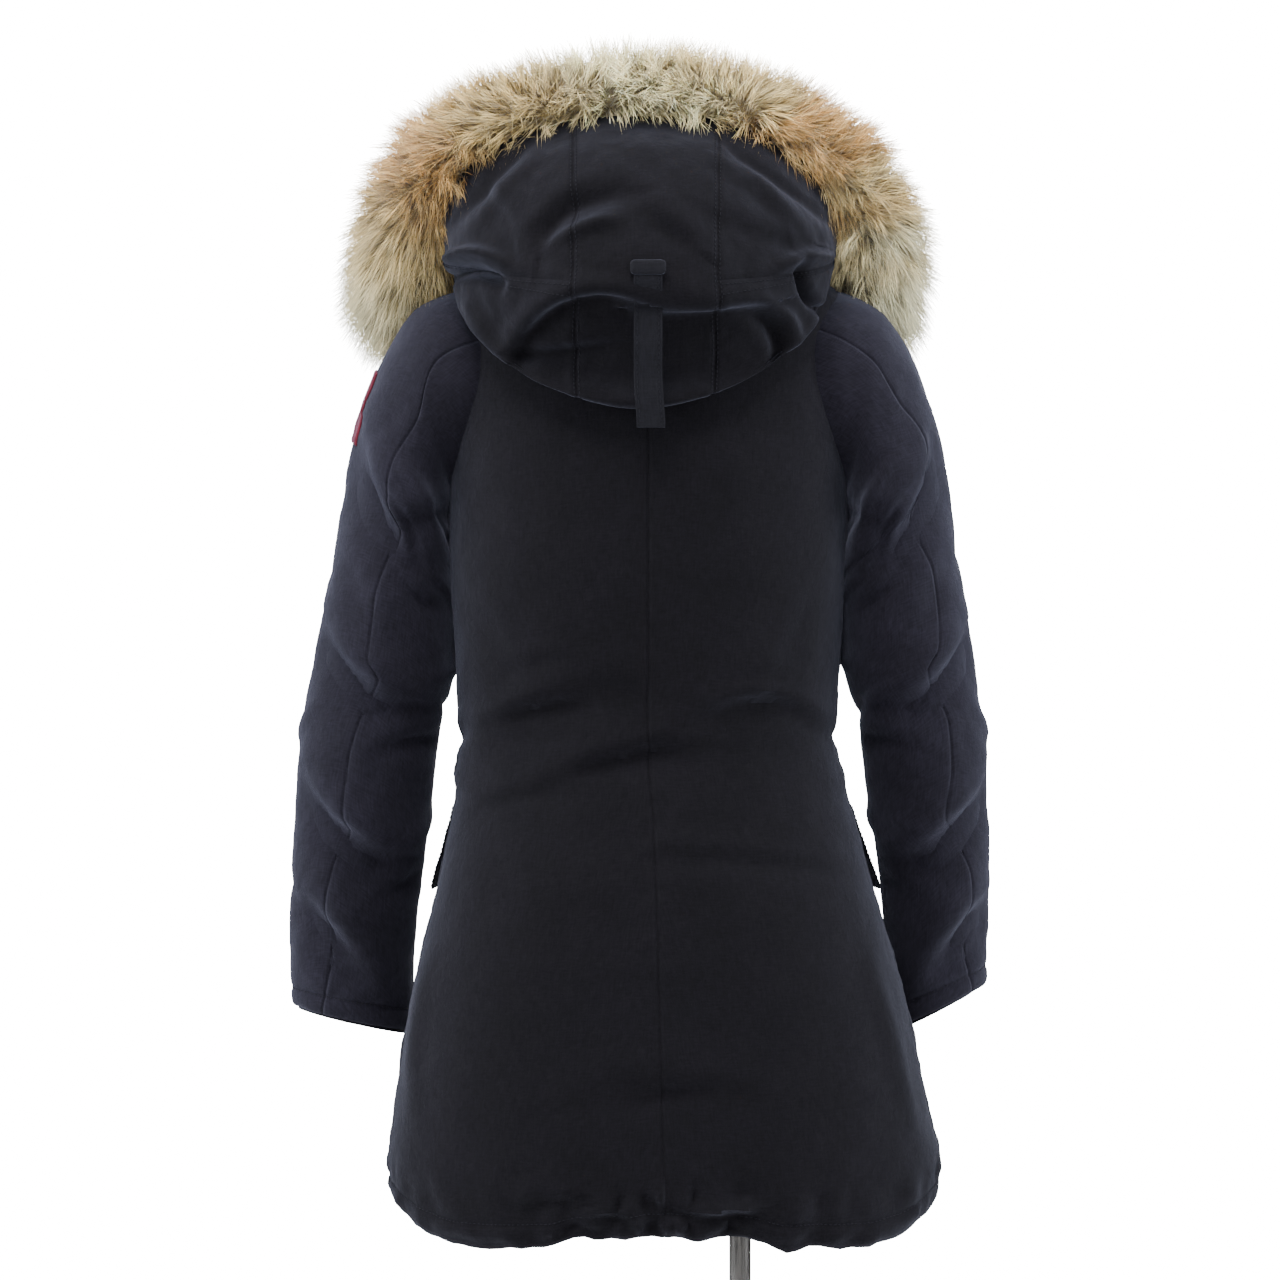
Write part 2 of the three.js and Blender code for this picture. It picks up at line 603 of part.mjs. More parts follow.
function add(name, geometry, colour, roughness = 0.9, metalness = 0) {
  const material = new THREE.MeshStandardMaterial({ color: COLOURS[colour], roughness, metalness });
  const mesh = new THREE.Mesh(geometry, material);
  mesh.name = name;
  part.add(mesh);
  return mesh;
}

// Fronts and backs, with the armholes cut to the hollow of each sleeve.
function addBody() {
  const armholes = [1, -1].map((side) => sleeveSolid(side, -SLEEVE_WALL, ARMHOLE_REACH));
  const panels = {
    front_left: [zipEdge, SIDE_SEAM],
    back_left: [SIDE_SEAM, BACK_SEAM],
    back_right: [BACK_SEAM, 360 - SIDE_SEAM],
    front_right: [360 - SIDE_SEAM, (level) => 360 - zipEdge(level)],
  };
  for (const [name, [from, to]] of Object.entries(panels)) {
    const piece = panel(bodyFace(), bodyFace(-BODY_WALL), from, to, BODY_SEGMENTS, BODY_LEVELS);
    add(name, cut(piece, ...armholes), "cloth");
  }
}

// The two panels of each sleeve, which start at the body's outer face.
function addSleeves() {
  const body = bodySolid(GAP);
  const levels = spread(0, 1, SLEEVE_LEVELS);
  for (const [word, side] of [["left", 1], ["right", -1]]) {
    const faces = [sleeveFace(side), sleeveFace(side, -SLEEVE_WALL)];
    const outer = panel(...faces, SLEEVE_FRONT_SEAM - 360, sleeveBackSeam, SLEEVE_OUTER_SEGMENTS, levels);
    const inner = panel(...faces, sleeveBackSeam, SLEEVE_FRONT_SEAM, SLEEVE_INNER_SEGMENTS, levels);
    add(`sleeve_${word}_outer`, cut(outer, body), "cloth");
    add(`sleeve_${word}_inner`, cut(inner, body), "cloth");
  }
}

// A band inside each sleeve's end, which reaches a little below the sleeve's edge.
function addCuffs() {
  for (const [word, side] of [["left", 1], ["right", -1]]) {
    const outside = sleeveFace(side, -(SLEEVE_WALL + GAP));
    const inside = sleeveFace(side, -(SLEEVE_WALL + GAP + TAPE_WALL));
    const ring = (surface, share, drop = 0) =>
      sleeveAngles(share).map((a) => surface(a, share).setZ(surface(a, share).z - drop));
    const rings = (surface) => [
      ring(surface, CUFF_FACING.up),
      ring(surface, 1),
      ring(surface, 1, CUFF_FACING.below),
    ];
    const shell = toSolid(solidFromRings(rings(outside)));
    const [top, end, bottom] = rings(inside);
    const past = 2;
    const above = ring(inside, CUFF_FACING.up, -past);
    const below = ring(inside, 1, CUFF_FACING.below + past);
    const hollow = toSolid(solidFromRings([above, top, end, bottom, below]));
    add(`cuff_facing_${word}`, fromSolid(shell.subtract(hollow)), "tape");
  }
}

// The face of the stand-up collar, which rises from the neck and leans in a little.
function collarFace(out = 0) {
  const form = (angle, share) => {
    const point = bodyForm(angle, NECK_LEVEL);
    const lean = 1 - COLLAR_LEAN * share;
    return new THREE.Vector3(point.x * lean, point.y * lean, point.z + GAP + share * COLLAR_HEIGHT);
  };
  return (angle, share) => {
    const normal = normalAt(form, angle, share, TURN_STEP, SHARE_STEP);
    return form(angle, share).addScaledVector(normal, out);
  };
}

// The stand-up collar, open at the zip.
function addCollar() {
  const edge = zipEdge(NECK_LEVEL);
  const faces = [collarFace(), collarFace(-COLLAR_WALL)];
  add("collar", panel(...faces, edge, 360 - edge, COLLAR_SEGMENTS, spread(0, 1, 2)), "cloth");
}

// The zip between the fronts and the collar's ends, and the slider and pull near its top.
function addZip() {
  const onFront = (across, level) => bodyForm(frontAngle(across, level), level);
  const onCollar = (across, share) => collarFace()(frontAngle(across, NECK_LEVEL), share);
  const rows = [
    ...[ZIP.bottom, ...BODY_LEVELS.filter((z) => z > ZIP.bottom)].map((z) => (x) => onFront(x, z)),
    ...spread(0.5, 1, 1).map((share) => (x) => onCollar(x, share)),
  ];
  const set = (back) => (x, row) => row(x).add(new THREE.Vector3(0, back, 0));
  const half = ZIP.half - GAP / 2;
  add("zip", wall(set(ZIP.back), set(ZIP.back + ZIP.thick), spread(-half, half, 2), rows), "zip", 0.5, 0.3);

  const share = (SLIDER.level - bodyForm(0, NECK_LEVEL).z) / COLLAR_HEIGHT;
  const front = onCollar(0, share).y - GAP;
  const block = (name, { wide, high, deep }, y, z) => {
    add(name, new THREE.BoxGeometry(wide, deep, high), "steel", 0.35, 0.8).position.set(0, y, z);
  };
  block("zip_slider", SLIDER, front - SLIDER.deep / 2, SLIDER.level);
  block("zip_pull", PULL, front - SLIDER.deep - GAP - PULL.deep / 2, SLIDER.level - PULL.high / 2 + 2);
}

// A patch pocket and its flap on each front, on the grid of the front's own points.
function addPockets() {
  const within = (values, from, to, near) => {
    const between = values.filter((x) => x > from + near && x < to - near);
    return [from, ...between, to];
  };
  const across = (from, to) => within(spread(0, 1, BODY_SEGMENTS), from, to, 0.01);
  const up = (from, to) => within(BODY_LEVELS, from, to, 9);
  for (const [word, turn] of [["left", (a) => a], ["right", (a) => 360 - a]]) {
    const angle = (share, level) => mix(zipEdge(level), SIDE_SEAM, share);
    const raised = (out) => (share, level) => bodyFace(out)(turn(angle(share, level)), level);
    const grid = [across(POCKET.from, POCKET.to), up(POCKET.bottom, POCKET.top)];
    const pocket = wall(raised(POCKET.out), raised(GAP), ...grid);
    add(`pocket_${word}`, pocket, "cloth");

    const under = (share, level) => {
      const edge = ease(level, POCKET_FLAP.top, POCKET_FLAP.bottom);
      const overPocket = 1 - ease(share, POCKET.to + 0.01, POCKET_FLAP.to);
      const loose = POCKET_FLAP.lift * edge * (1 - overPocket);
      return GAP + (POCKET.out + POCKET_FLAP.clear) * overPocket + loose;
    };
    const flapFace = (extra) => (share, level) => raised(under(share, level) + extra)(share, level);
    const flapGrid = [
      across(POCKET_FLAP.from, POCKET_FLAP.to),
      up(POCKET_FLAP.bottom, POCKET_FLAP.top),
    ];
    const flap = wall(flapFace(FLAP_WALL), flapFace(0), ...flapGrid);
    add(`pocket_flap_${word}`, flap, "cloth");
  }
}

// A plain badge on the left upper arm, on the grid of the sleeve's outer panel.
function addBadge() {
  const face = (out) => (share, rib) =>
    sleeveFace(1, out)(mix(SLEEVE_FRONT_SEAM - 360, sleeveBackSeam(rib), share), rib);
  const between = (from, to, steps) => [from, ...spread(0, 1, steps).filter((x) => x > from && x < to), to];
  const across = between(BADGE.from, BADGE.to, SLEEVE_OUTER_SEGMENTS);
  const down = between(BADGE.top, BADGE.bottom, SLEEVE_LEVELS);
  add("badge", wall(face(GAP + TAPE_WALL), face(GAP), across, down), "badge");
}

// Rows of the hood's panels. The yoke seam's row is a function that leaves half of the gap.
function hoodRows() {
  const all = spread(0, 1, HOOD_LEVELS);
  const near = 0.5 / HOOD_LEVELS;
  const yoke = (sign) => (round) => {
    const next = hoodForm(round, HOOD_YOKE_SEAM + SHARE_STEP);
    const speed = next.distanceTo(hoodForm(round, HOOD_YOKE_SEAM)) / SHARE_STEP;
    return HOOD_YOKE_SEAM + (sign * 1.5 * GAP) / speed;
  };
  const lower = all.filter((v) => v < HOOD_YOKE_SEAM - near);
  const upper = all.filter((v) => v > HOOD_YOKE_SEAM + near);
  return {
    lower: [...lower, yoke(-1)],
    upper: [yoke(1), ...upper],
    all: [...lower, HOOD_YOKE_SEAM, ...upper],
  };
}

// The hood: a centre panel from the neck seam to the ruff, and two side panels above and below
// the yoke seam on each side.
function addHood() {
  const { left, right } = HOOD_CENTRE_SEAM;
  const { lower, upper, all } = hoodRows();
  const body = bodySolid(GAP);
  const piece = (name, from, to, segments, rows) =>
    add(name, cut(panel(hoodFace(), hoodFace(-HOOD_WALL), from, to, segments, rows), body), "cloth");
  piece("hood_centre", left, right, HOOD_CENTRE_SEGMENTS, all);
  piece("hood_left_lower", -1, left, HOOD_SIDE_SEGMENTS, lower);
  piece("hood_left_upper", -1, left, HOOD_SIDE_SEGMENTS, upper);
  piece("hood_right_lower", right, 1, HOOD_SIDE_SEGMENTS, lower);
  piece("hood_right_upper", right, 1, HOOD_SIDE_SEGMENTS, upper);
}

// The hood's wall as one solid, grown by the gap all round, which parts the ruff from it.
function hoodCutter() {
  const { left, right } = HOOD_CENTRE_SEAM;
  const segments = [HOOD_SIDE_SEGMENTS, HOOD_CENTRE_SEGMENTS, HOOD_SIDE_SEGMENTS];
  const across = [-1.002, ...gridAcross([-1, left, right, 1], segments, 0), 1.002];
  const rows = [...hoodRows().all.filter((v) => v > HOOD_RECESS.from), 1.1];
  const lengthened = (face) => (round, row) => {
    if (row <= 1) return face(round, row);
    const onward = face(round, 1).sub(face(round, 0.98)).setLength(2 * GAP);
    return face(round, 1).add(onward);
  };
  return toSolid(wall(lengthened(hoodFace(GAP)), lengthened(hoodFace(-HOOD_WALL - GAP)), across, rows));
}

// A strap down the middle of the hood's back, over its yoke, hanging free below.
function addStrap() {
  const onHood = hoodFace(STRAP.clear);
  const bend = onHood(0, STRAP.bend);
  const line = [
    ...spread(STRAP.top, STRAP.bend, 3).map((v) => onHood(0, v)),
    new THREE.Vector3(0, bend.y - 1, mix(bend.z, STRAP.end, 0.3)),
    new THREE.Vector3(0, bend.y - 5, mix(bend.z, STRAP.end, 0.65)),
    new THREE.Vector3(0, bend.y - 8, STRAP.end),
  ];
  const ribbon = (out) => (across, i) => line[i].clone().add(new THREE.Vector3(STRAP.x + across, out, 0));
  const rows = line.map((_, i) => i);
  const half = (piece) => spread(-piece.wide / 2, piece.wide / 2, 1);
  add("hood_strap", wall(ribbon(TAPE_WALL), ribbon(0), half(STRAP), rows), "tape");

  const under = TAPE_WALL + GAP;
  const bar = wall(ribbon(under + TAPE_WALL), ribbon(under), half(STRAP_BAR), [0, 1]);
  add("hood_strap_bar", bar, "tape");
}

// The ruff: a thick roll of fur along the hood's edge, as far out as the fur reaches.
function addRuff() {
  const line = new THREE.CatmullRomCurve3([
    ...RUFF_LINE.map((row) => new THREE.Vector3(row.left, row.y, row.z)),
    ...RUFF_LINE.slice(0, -1).reverse().map((row) => new THREE.Vector3(row.right, row.y, row.z)),
  ], false, "centripetal");
  const rings = spread(0, 1, RUFF_STEPS).map((share) => {
    const at = 1 - Math.abs(1 - 2 * share);
    const size = ruffLine(at);
    const along = line.getTangent(share);
    const middle = line.getPoint(share);
    const away = middle.clone().sub(RUFF_MIDDLE);
    away.addScaledVector(along, -away.dot(along)).normalize();
    const through = along.clone().cross(away);
    return spread(0, 360, RUFF_SIDES).slice(0, -1).map((a) =>
      middle.clone()
        .addScaledVector(away, size.across * Math.cos(radians(a)))
        .addScaledVector(through, size.through * Math.sin(radians(a))));
  });
  const neighbours = [bodySolid(RUFF_CLEAR), hoodCutter()];
  for (const side of [1, -1]) neighbours.push(sleeveSolid(side, RUFF_CLEAR, RUFF_MEETS));
  add("ruff", cut(solidFromRings(rings), ...neighbours), "fur");
}

// The dress form, which carries the coat at the shoulders, and its stand.
function addForm() {
  const levels = [FORM_BOTTOM, ...BODY_LEVELS.filter((z) => z > FORM_BOTTOM + 20)];
  const rings = levels.map((z) => {
    const inset = formInset(z).inset;
    return bodyAngles(z).map((a) => {
      const normal = normalAt(bodyForm, a, z, TURN_STEP, LEVEL_STEP);
      return bodyForm(a, z).addScaledVector(normal, -inset);
    });
  });
  rings[0].forEach((point) => point.setZ(FORM_BOTTOM));
  const neck = (z, radius) => bodyAngles(NECK_LEVEL).map((a) => {
    const turn = radians(a);
    return new THREE.Vector3(radius * Math.sin(turn), -radius * Math.cos(turn), z);
  });
  rings.push(...FORM_NECK.map(({ z, radius }) => neck(z, radius)));
  add("dress_form", solidFromRings(rings), "form", 0.7);
}

function cylinder(name, radius, bottom, top, x, colour = "steel") {
  const geometry = new THREE.CylinderGeometry(radius, radius, top - bottom, ROUND_SEGMENTS);
  const mesh = add(name, geometry, colour, 0.3, 0.9);
  mesh.rotation.x = Math.PI / 2;
  mesh.position.set(x, 0, (top + bottom) / 2);
}

function addStand() {
  cylinder("stand_base", BASE_RADIUS, 0, BASE_THICKNESS, POLE_X);
  cylinder("stand_boss", BOSS_RADIUS, BASE_THICKNESS, BASE_THICKNESS + BOSS_HEIGHT, POLE_X);
  const socketBottom = FORM_BOTTOM - SOCKET_HEIGHT;
  cylinder("stand_pole", POLE_RADIUS, BASE_THICKNESS + BOSS_HEIGHT, socketBottom, POLE_X);
  cylinder("stand_socket", SOCKET_RADIUS, socketBottom, FORM_BOTTOM, POLE_X);
}

addStand();
addForm();
addBody();
addSleeves();
addCuffs();
addCollar();
addZip();
addPockets();
addBadge();
addHood();
addStrap();
addRuff();

export default part;
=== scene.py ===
"""Looks of a hooded down parka with a fur ruff, on a limbless dress form with a pole stand.

Shapes are worked out in millimetres and made in metres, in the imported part's frame: +Z is up,
the coat's front faces -Y, and the wearer's left is +X.
"""

import json
import math
from functools import partial
from types import SimpleNamespace

import bpy
import numpy as np
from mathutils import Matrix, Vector, noise

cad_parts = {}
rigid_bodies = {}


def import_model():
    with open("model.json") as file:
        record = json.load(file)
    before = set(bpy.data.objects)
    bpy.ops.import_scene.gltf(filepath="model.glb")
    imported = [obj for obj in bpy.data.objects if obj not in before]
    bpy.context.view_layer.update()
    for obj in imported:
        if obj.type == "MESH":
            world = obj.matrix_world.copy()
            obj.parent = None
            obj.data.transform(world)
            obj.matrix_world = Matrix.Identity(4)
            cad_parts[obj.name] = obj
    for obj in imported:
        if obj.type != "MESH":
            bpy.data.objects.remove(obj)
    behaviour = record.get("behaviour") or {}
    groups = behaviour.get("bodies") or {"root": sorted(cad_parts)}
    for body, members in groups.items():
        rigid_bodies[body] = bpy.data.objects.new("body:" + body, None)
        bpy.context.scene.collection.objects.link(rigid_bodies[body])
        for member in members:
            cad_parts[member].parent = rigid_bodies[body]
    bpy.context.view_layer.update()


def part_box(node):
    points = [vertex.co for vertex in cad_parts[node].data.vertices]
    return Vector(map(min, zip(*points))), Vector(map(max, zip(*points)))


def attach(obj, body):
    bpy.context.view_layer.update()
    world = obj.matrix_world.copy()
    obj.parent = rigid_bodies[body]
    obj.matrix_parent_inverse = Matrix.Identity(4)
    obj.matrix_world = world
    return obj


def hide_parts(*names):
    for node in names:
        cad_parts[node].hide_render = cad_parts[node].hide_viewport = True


bl_info = {
    "name": "Hooded Down Parka",
    "version": (1, 0, 0),
    "blender": (4, 5, 0),
    "location": "View3D > Sidebar > Parka",
    "description": "Builds a hooded down parka with a fur ruff, worn by a dress form on a stand",
    "category": "Object",
}

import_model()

MM = 0.001
GAP = 0.3
PLAN_POWER = 2.2
SLEEVE_LENGTH = 650
# How far the stitches of the hem, the cuffs, the fronts and the collar lie from their edges.
HEM_LINE, CUFF_LINE, FRONT_LINE, COLLAR_LINE = 23, 19, 13, 8


def rows_of(columns, *rows):
    """The rows of a short table, with its columns by name."""
    names = columns.split()
    return [SimpleNamespace(**dict(zip(names, row))) for row in rows]


bends = partial(rows_of, "x0 z0 x1 z1 x2 z2 lip furrow crest reach")

# The body's rings from hem to neck: half width, depth to the front and to the back of the middle,
# sideways lean of the middle, and how far the ring's back stands above its front, halved.
BODY_RINGS = rows_of(
    "z side front back lean tilt",
    (598, 249, 146, 146, -22, 0),
    (618, 252, 149, 150, -22, 0),
    (650, 253, 150, 151, -22, 0),
    (713, 245, 148, 150, -19, 0),
    (769, 234, 146, 148, -18, 0),
    (842, 219, 141, 143, -16, 0),
    (916, 199, 135, 134, -14, 0),
    (971, 185, 130, 122, -12, 0),
    (1008, 177, 126, 115, -9, 0),
    (1045, 174, 124, 111, -7, 0),
    (1081, 175, 126, 113, -7, 0),
    (1137, 178, 133, 122, -7, 0),
    (1210, 183, 140, 130, -7, 0),
    (1284, 185, 137, 131, -7, 0),
    (1340, 186, 124, 126, -7, 1),
    (1380, 186, 111, 119, -7, 2),
    (1415, 185, 100, 111, -7, 4),
    (1440, 183, 92, 104, -7, 6),
    (1456, 174, 86, 98, -6, 8),
    (1466, 156, 81, 91, -5, 9),
    (1476, 130, 75, 83, -4, 10),
    (1486, 102, 68, 74, -3, 11),
    (1494, 77, 61, 66, -2, 12),
)
HEM_LEVEL, NECK_LEVEL = 598, 1494
SIDE_SEAM, BACK_SEAM = 95, 180

# How far the hem rises above its lowest level, by degrees from the middle of the front.
HEM_RISE = rows_of(
    "turn rise",
    (0, 10), (42, 2), (90, 30), (138, 0), (157, 3), (166, 12), (180, 16),
)
HEM_FADE = 110

# A sleeve's ribs from inside the armhole to the cuff: the outer and inner ends of each rib in the
# plane of the shoulders, its middle depth, and half its depth.
SLEEVE_RIBS = rows_of(
    "at out_x out_z in_x in_z mid_y half_y",
    (0, 148, 1461, 148, 1292, 4, 72),
    (0.05, 182, 1455, 170, 1280, 4, 75),
    (0.1, 213, 1440, 180, 1268, 4, 75),
    (0.15, 236, 1410, 180, 1254, 4, 72),
    (0.22, 256, 1366, 178, 1232, 3, 68),
    (0.3, 273, 1308, 176, 1200, 1, 65),
    (0.38, 281, 1250, 174, 1164, -1, 63),
    (0.47, 293, 1182, 175, 1118, -4, 61),
    (0.57, 305, 1103, 186, 1062, -9, 59),
    (0.67, 315, 1026, 194, 1002, -17, 56),
    (0.78, 319, 946, 206, 926, -29, 52),
    (0.89, 321, 875, 213, 849, -44, 48),
    (1, 321, 811, 217, 772, -60, 44),
)
# The angle of each sleeve's back seam, which jogs where folds lie over it.
SLEEVE_BACK_SEAM = {
    "left": rows_of(
        "at angle",
        (0, 68), (0.066, 72), (0.14, 90), (0.256, 79), (0.304, 80), (0.328, 95), (0.39, 82),
        (0.446, 78), (0.522, 82), (0.54, 93), (0.588, 84), (0.66, 78), (0.724, 80), (0.74, 86),
        (0.778, 73), (0.852, 68), (0.88, 74), (1, 64),
    ),
    "right": rows_of(
        "at angle",
        (0, 60), (0.1, 67), (0.148, 67), (0.268, 50), (0.312, 52), (0.328, 76), (0.36, 70),
        (0.436, 60), (0.512, 70), (0.534, 83), (0.604, 68), (0.668, 71), (0.728, 82), (0.75, 70),
        (0.812, 56), (0.86, 56), (0.9, 60), (1, 49),
    ),
}
SLEEVE_FRONT_SEAM = 240
ARMHOLE_END = 0.22
# Where the sleeves' meshes have their last rows, as shares of a sleeve above its edge.
CUFF_STEPS = [0.06, 0.05, 0.042, 0.036, 0.031, 0.027, 0.022, 0.016, 0.01, 0.006, 0.003, 0.0012, 0]
SLEEVE_SHIFT = -7
HANG = {
    "left": SimpleNamespace(outer=13, inner=3, fore=0, drop=15),
    "right": SimpleNamespace(outer=-1, inner=9, fore=16, drop=-4),
}
SIDES = {"left": 1, "right": -1}

# Folds and creases as bends through three points of a plane that faces the back. A lip stands out
# on the upper side of its line, a furrow sinks below it, and a crest lies along the line itself.
SLEEVE_FOLDS = bends(
    (258, 1322, 240, 1258, 199, 1199, 8, 8, 0, 22),
    (292, 1152, 262, 1106, 226, 1086, 8.5, 8, 0, 21),
    (313, 1014, 270, 962, 220, 940, 8.5, 8, 0, 21),
    (320, 905, 288, 876, 253, 814, 6.5, 6.5, 0, 20),
)
BACK_FOLDS = bends(
    (150, 1040, 70, 1092, -10, 1094, 4.4, 4.2, 0, 22),
    (-160, 1066, -95, 1084, -30, 1062, 4.6, 4.6, 0, 22),
    (70, 1020, 0, 1040, -110, 1046, 4, 3.2, 0, 22),
    (60, 738, 0, 752, -80, 744, 3.2, 4, 0, 20),
)
BACK_CREASES = bends(
    (134, 1066, 92, 1080, 44, 1084, 2.6, 3.4, -0.8, 9),
    (71, 1018, 20, 1036, -35, 1044, 2.4, 3.2, -0.8, 9),
    (-53, 1071, -118, 1086, -168, 1053, 2.6, 3.8, -0.8, 9),
    (-12, 950, -100, 946, -200, 928, 1.6, 2.2, -0.3, 9),
    (150, 985, 110, 1002, 60, 1006, 1.5, 1.8, -0.2, 9),
    (120, 1112, 84, 1124, 40, 1118, 1.2, 1.4, 0, 7),
    (128, 1052, 96, 1056, 70, 1052, 1, 1.4, 0, 6),
    (-70, 1104, -110, 1110, -150, 1096, 1.2, 1.4, 0, 7),
    (193, 850, 204, 790, 208, 715, 0, 0, 3.4, 13),
    (-205, 850, -226, 780, -246, 700, 0, 0, 3.2, 13),
    (25, 731, -30, 746, -88, 749, 1.3, 2, -0.5, 9),
    (150, 1180, 120, 1140, 96, 1080, 0.8, 1, 0.4, 14),
    (-150, 1190, -132, 1146, -104, 1090, 0.8, 1, 0.4, 14),
    (60, 628, 24, 636, -10, 626, 1, 1.4, 2.6, 6),
    (-50, 630, -84, 640, -116, 628, 1, 1.4, 2.4, 6),
    (110, 640, 70, 652, 20, 640, 1.2, 1.6, 2.6, 6),
    (-20, 646, -70, 636, -125, 650, 1.2, 1.6, 2.6, 6),
)
SLEEVE_CREASES = bends(
    (256, 1342, 250, 1290, 232, 1254, 0.9, 1.6, -0.5, 12),
    (244, 1282, 225, 1240, 200, 1190, 1.2, 2, 0, 13),
    (224, 1244, 200, 1254, 168, 1258, 2.4, 3.4, -1.5, 12),
    (210, 1250, 206, 1222, 196, 1196, 0, 0, -2, 13),
    (292, 1150, 272, 1118, 236, 1096, 1.3, 2.4, -0.4, 13),
    (262, 1094, 240, 1082, 205, 1084, 1.2, 2.2, -0.8, 11),
    (242, 1042, 210, 1050, 184, 1050, 2, 3.6, -1.6, 10),
    (310, 1016, 292, 984, 252, 958, 1.2, 2.2, -0.3, 13),
    (300, 968, 270, 944, 232, 940, 1, 1.8, 0, 12),
    (240, 906, 222, 918, 206, 930, 2, 3, -1.2, 9),
    (314, 900, 290, 874, 268, 848, 1, 1.8, 0, 12),
    (306, 858, 290, 842, 262, 838, 1, 1.6, 0.3, 9),
    (282, 1220, 262, 1200, 246, 1160, 1.2, 1.4, 0, 14),
    (224, 1300, 204, 1272, 192, 1226, 0, 0, 4, 9),
    (240, 1276, 218, 1244, 206, 1200, 0, 0, -3.6, 7),
    (222, 1196, 204, 1176, 190, 1172, 1.6, 2.4, -2, 8),
)

# Creases that wrap round the body or a sleeve, on the sides that the back's tables don't reach:
# where the middle is, how it climbs with each degree, its half span, and its width and lift.
BODY_WRAPS = rows_of(
    "turn level climb span wide lift",
    (40, 1062, 0.5, 26, 9, 2.6),
    (52, 1024, -0.4, 24, 8, -2.6),
    (28, 1004, 0.3, 16, 8, 2.0),
    (-36, 1070, -0.6, 24, 9, 2.6),
    (-50, 1036, 0.3, 26, 8, -2.6),
    (-30, 1008, -0.2, 18, 9, 2.0),
    (92, 1046, 0.5, 20, 8, -3.0),
    (104, 1010, -0.5, 22, 8, 2.2),
    (-96, 1050, -0.4, 20, 8, -3.0),
    (-86, 1016, 0.4, 22, 8, 2.2),
    (34, 1320, 1.6, 16, 10, 2.2),
    (-36, 1316, -1.6, 16, 10, 2.2),
    (60, 1240, 1.2, 14, 9, -2.0),
    (-58, 1236, -1.1, 14, 9, -2.0),
    (88, 760, 2.4, 9, 20, 2.2),
    (-84, 770, -2.2, 9, 20, 2.2),
    (24, 740, 0.3, 20, 10, -1.6),
    (-26, 728, 0.4, 22, 10, -1.6),
)
SLEEVE_WRAPS = rows_of(
    "turn at climb span wide lift",
    (-60, 0.30, 0.0011, 40, 0.016, 3.0),
    (-75, 0.36, -0.0008, 34, 0.014, -3.0),
    (-95, 0.45, 0.0009, 36, 0.015, 3.4),
    (-110, 0.50, -0.0010, 40, 0.014, -3.4),
    (-70, 0.56, 0.0011, 42, 0.015, 3.4),
    (-120, 0.61, 0.0006, 38, 0.014, -3.0),
    (-60, 0.70, -0.0009, 36, 0.015, 3.0),
    (-100, 0.77, 0.0010, 38, 0.014, -2.6),
    (-50, 0.86, 0.0008, 34, 0.014, 2.4),
    (-10, 0.42, 0.0009, 26, 0.014, -2.2),
    (5, 0.63, -0.0009, 26, 0.014, 2.2),
    (-15, 0.80, 0.0008, 26, 0.014, -2.0),
    (175, 0.26, 0.0008, 28, 0.014, -3.0),
    (170, 0.48, -0.0008, 30, 0.014, 2.6),
    (180, 0.55, 0.0007, 30, 0.013, -2.8),
    (172, 0.72, -0.0007, 28, 0.014, 2.2),
)

# The hood's rows from the neck seam, down to the bottom of its pouch, and up to the ruff. Each is a
# horseshoe: half width, its middle in depth, reach to the back and to the front, how far it runs
# round, its height at the back, at the sides and at its front ends, and how soon it climbs.
HOOD_ROWS = rows_of(
    "at wide mid back fore end z_back z_side z_end climb",
    (0, 82, 0, 71, 66, 168, 1509, 1499, 1487, 1),
    (0.12, 108, 8, 92, 84, 167, 1478, 1493, 1478, 0.8),
    (0.28, 146, 20, 112, 112, 166, 1396, 1484, 1464, 0.9),
    (0.36, 164, 28, 119, 130, 166, 1339, 1478, 1455, 0.9),
    (0.42, 171, 30, 126, 136, 166, 1345, 1479, 1450, 1),
    (0.54, 175, 32, 136, 142, 166, 1392, 1482, 1444, 1),
    (0.66, 176, 32, 152, 145, 167, 1446, 1485, 1439, 1),
    (0.78, 177, 30, 142, 147, 168, 1505, 1488, 1434, 1.2),
    (0.9, 179, 26, 108, 146, 168, 1566, 1492, 1429, 1.2),
    (1, 184, 20, 64, 144, 169, 1606, 1496, 1424, 1.3),
)
HOOD_SEAMS = SimpleNamespace(left=-0.113, right=0.134, yoke=0.66)
HOOD_RECESS = SimpleNamespace(x=-4, z=1386, wide=118, high=44, deep=20, start=0.39, full=0.5)
HOOD_CLEAR, HOOD_SOFTNESS = 7, 14
# How far the stitches lie beside the centre seams, as a share of half the hood's way round.
HOOD_LINE = 2.6 / 560
SHOULDER_FROM = 1300

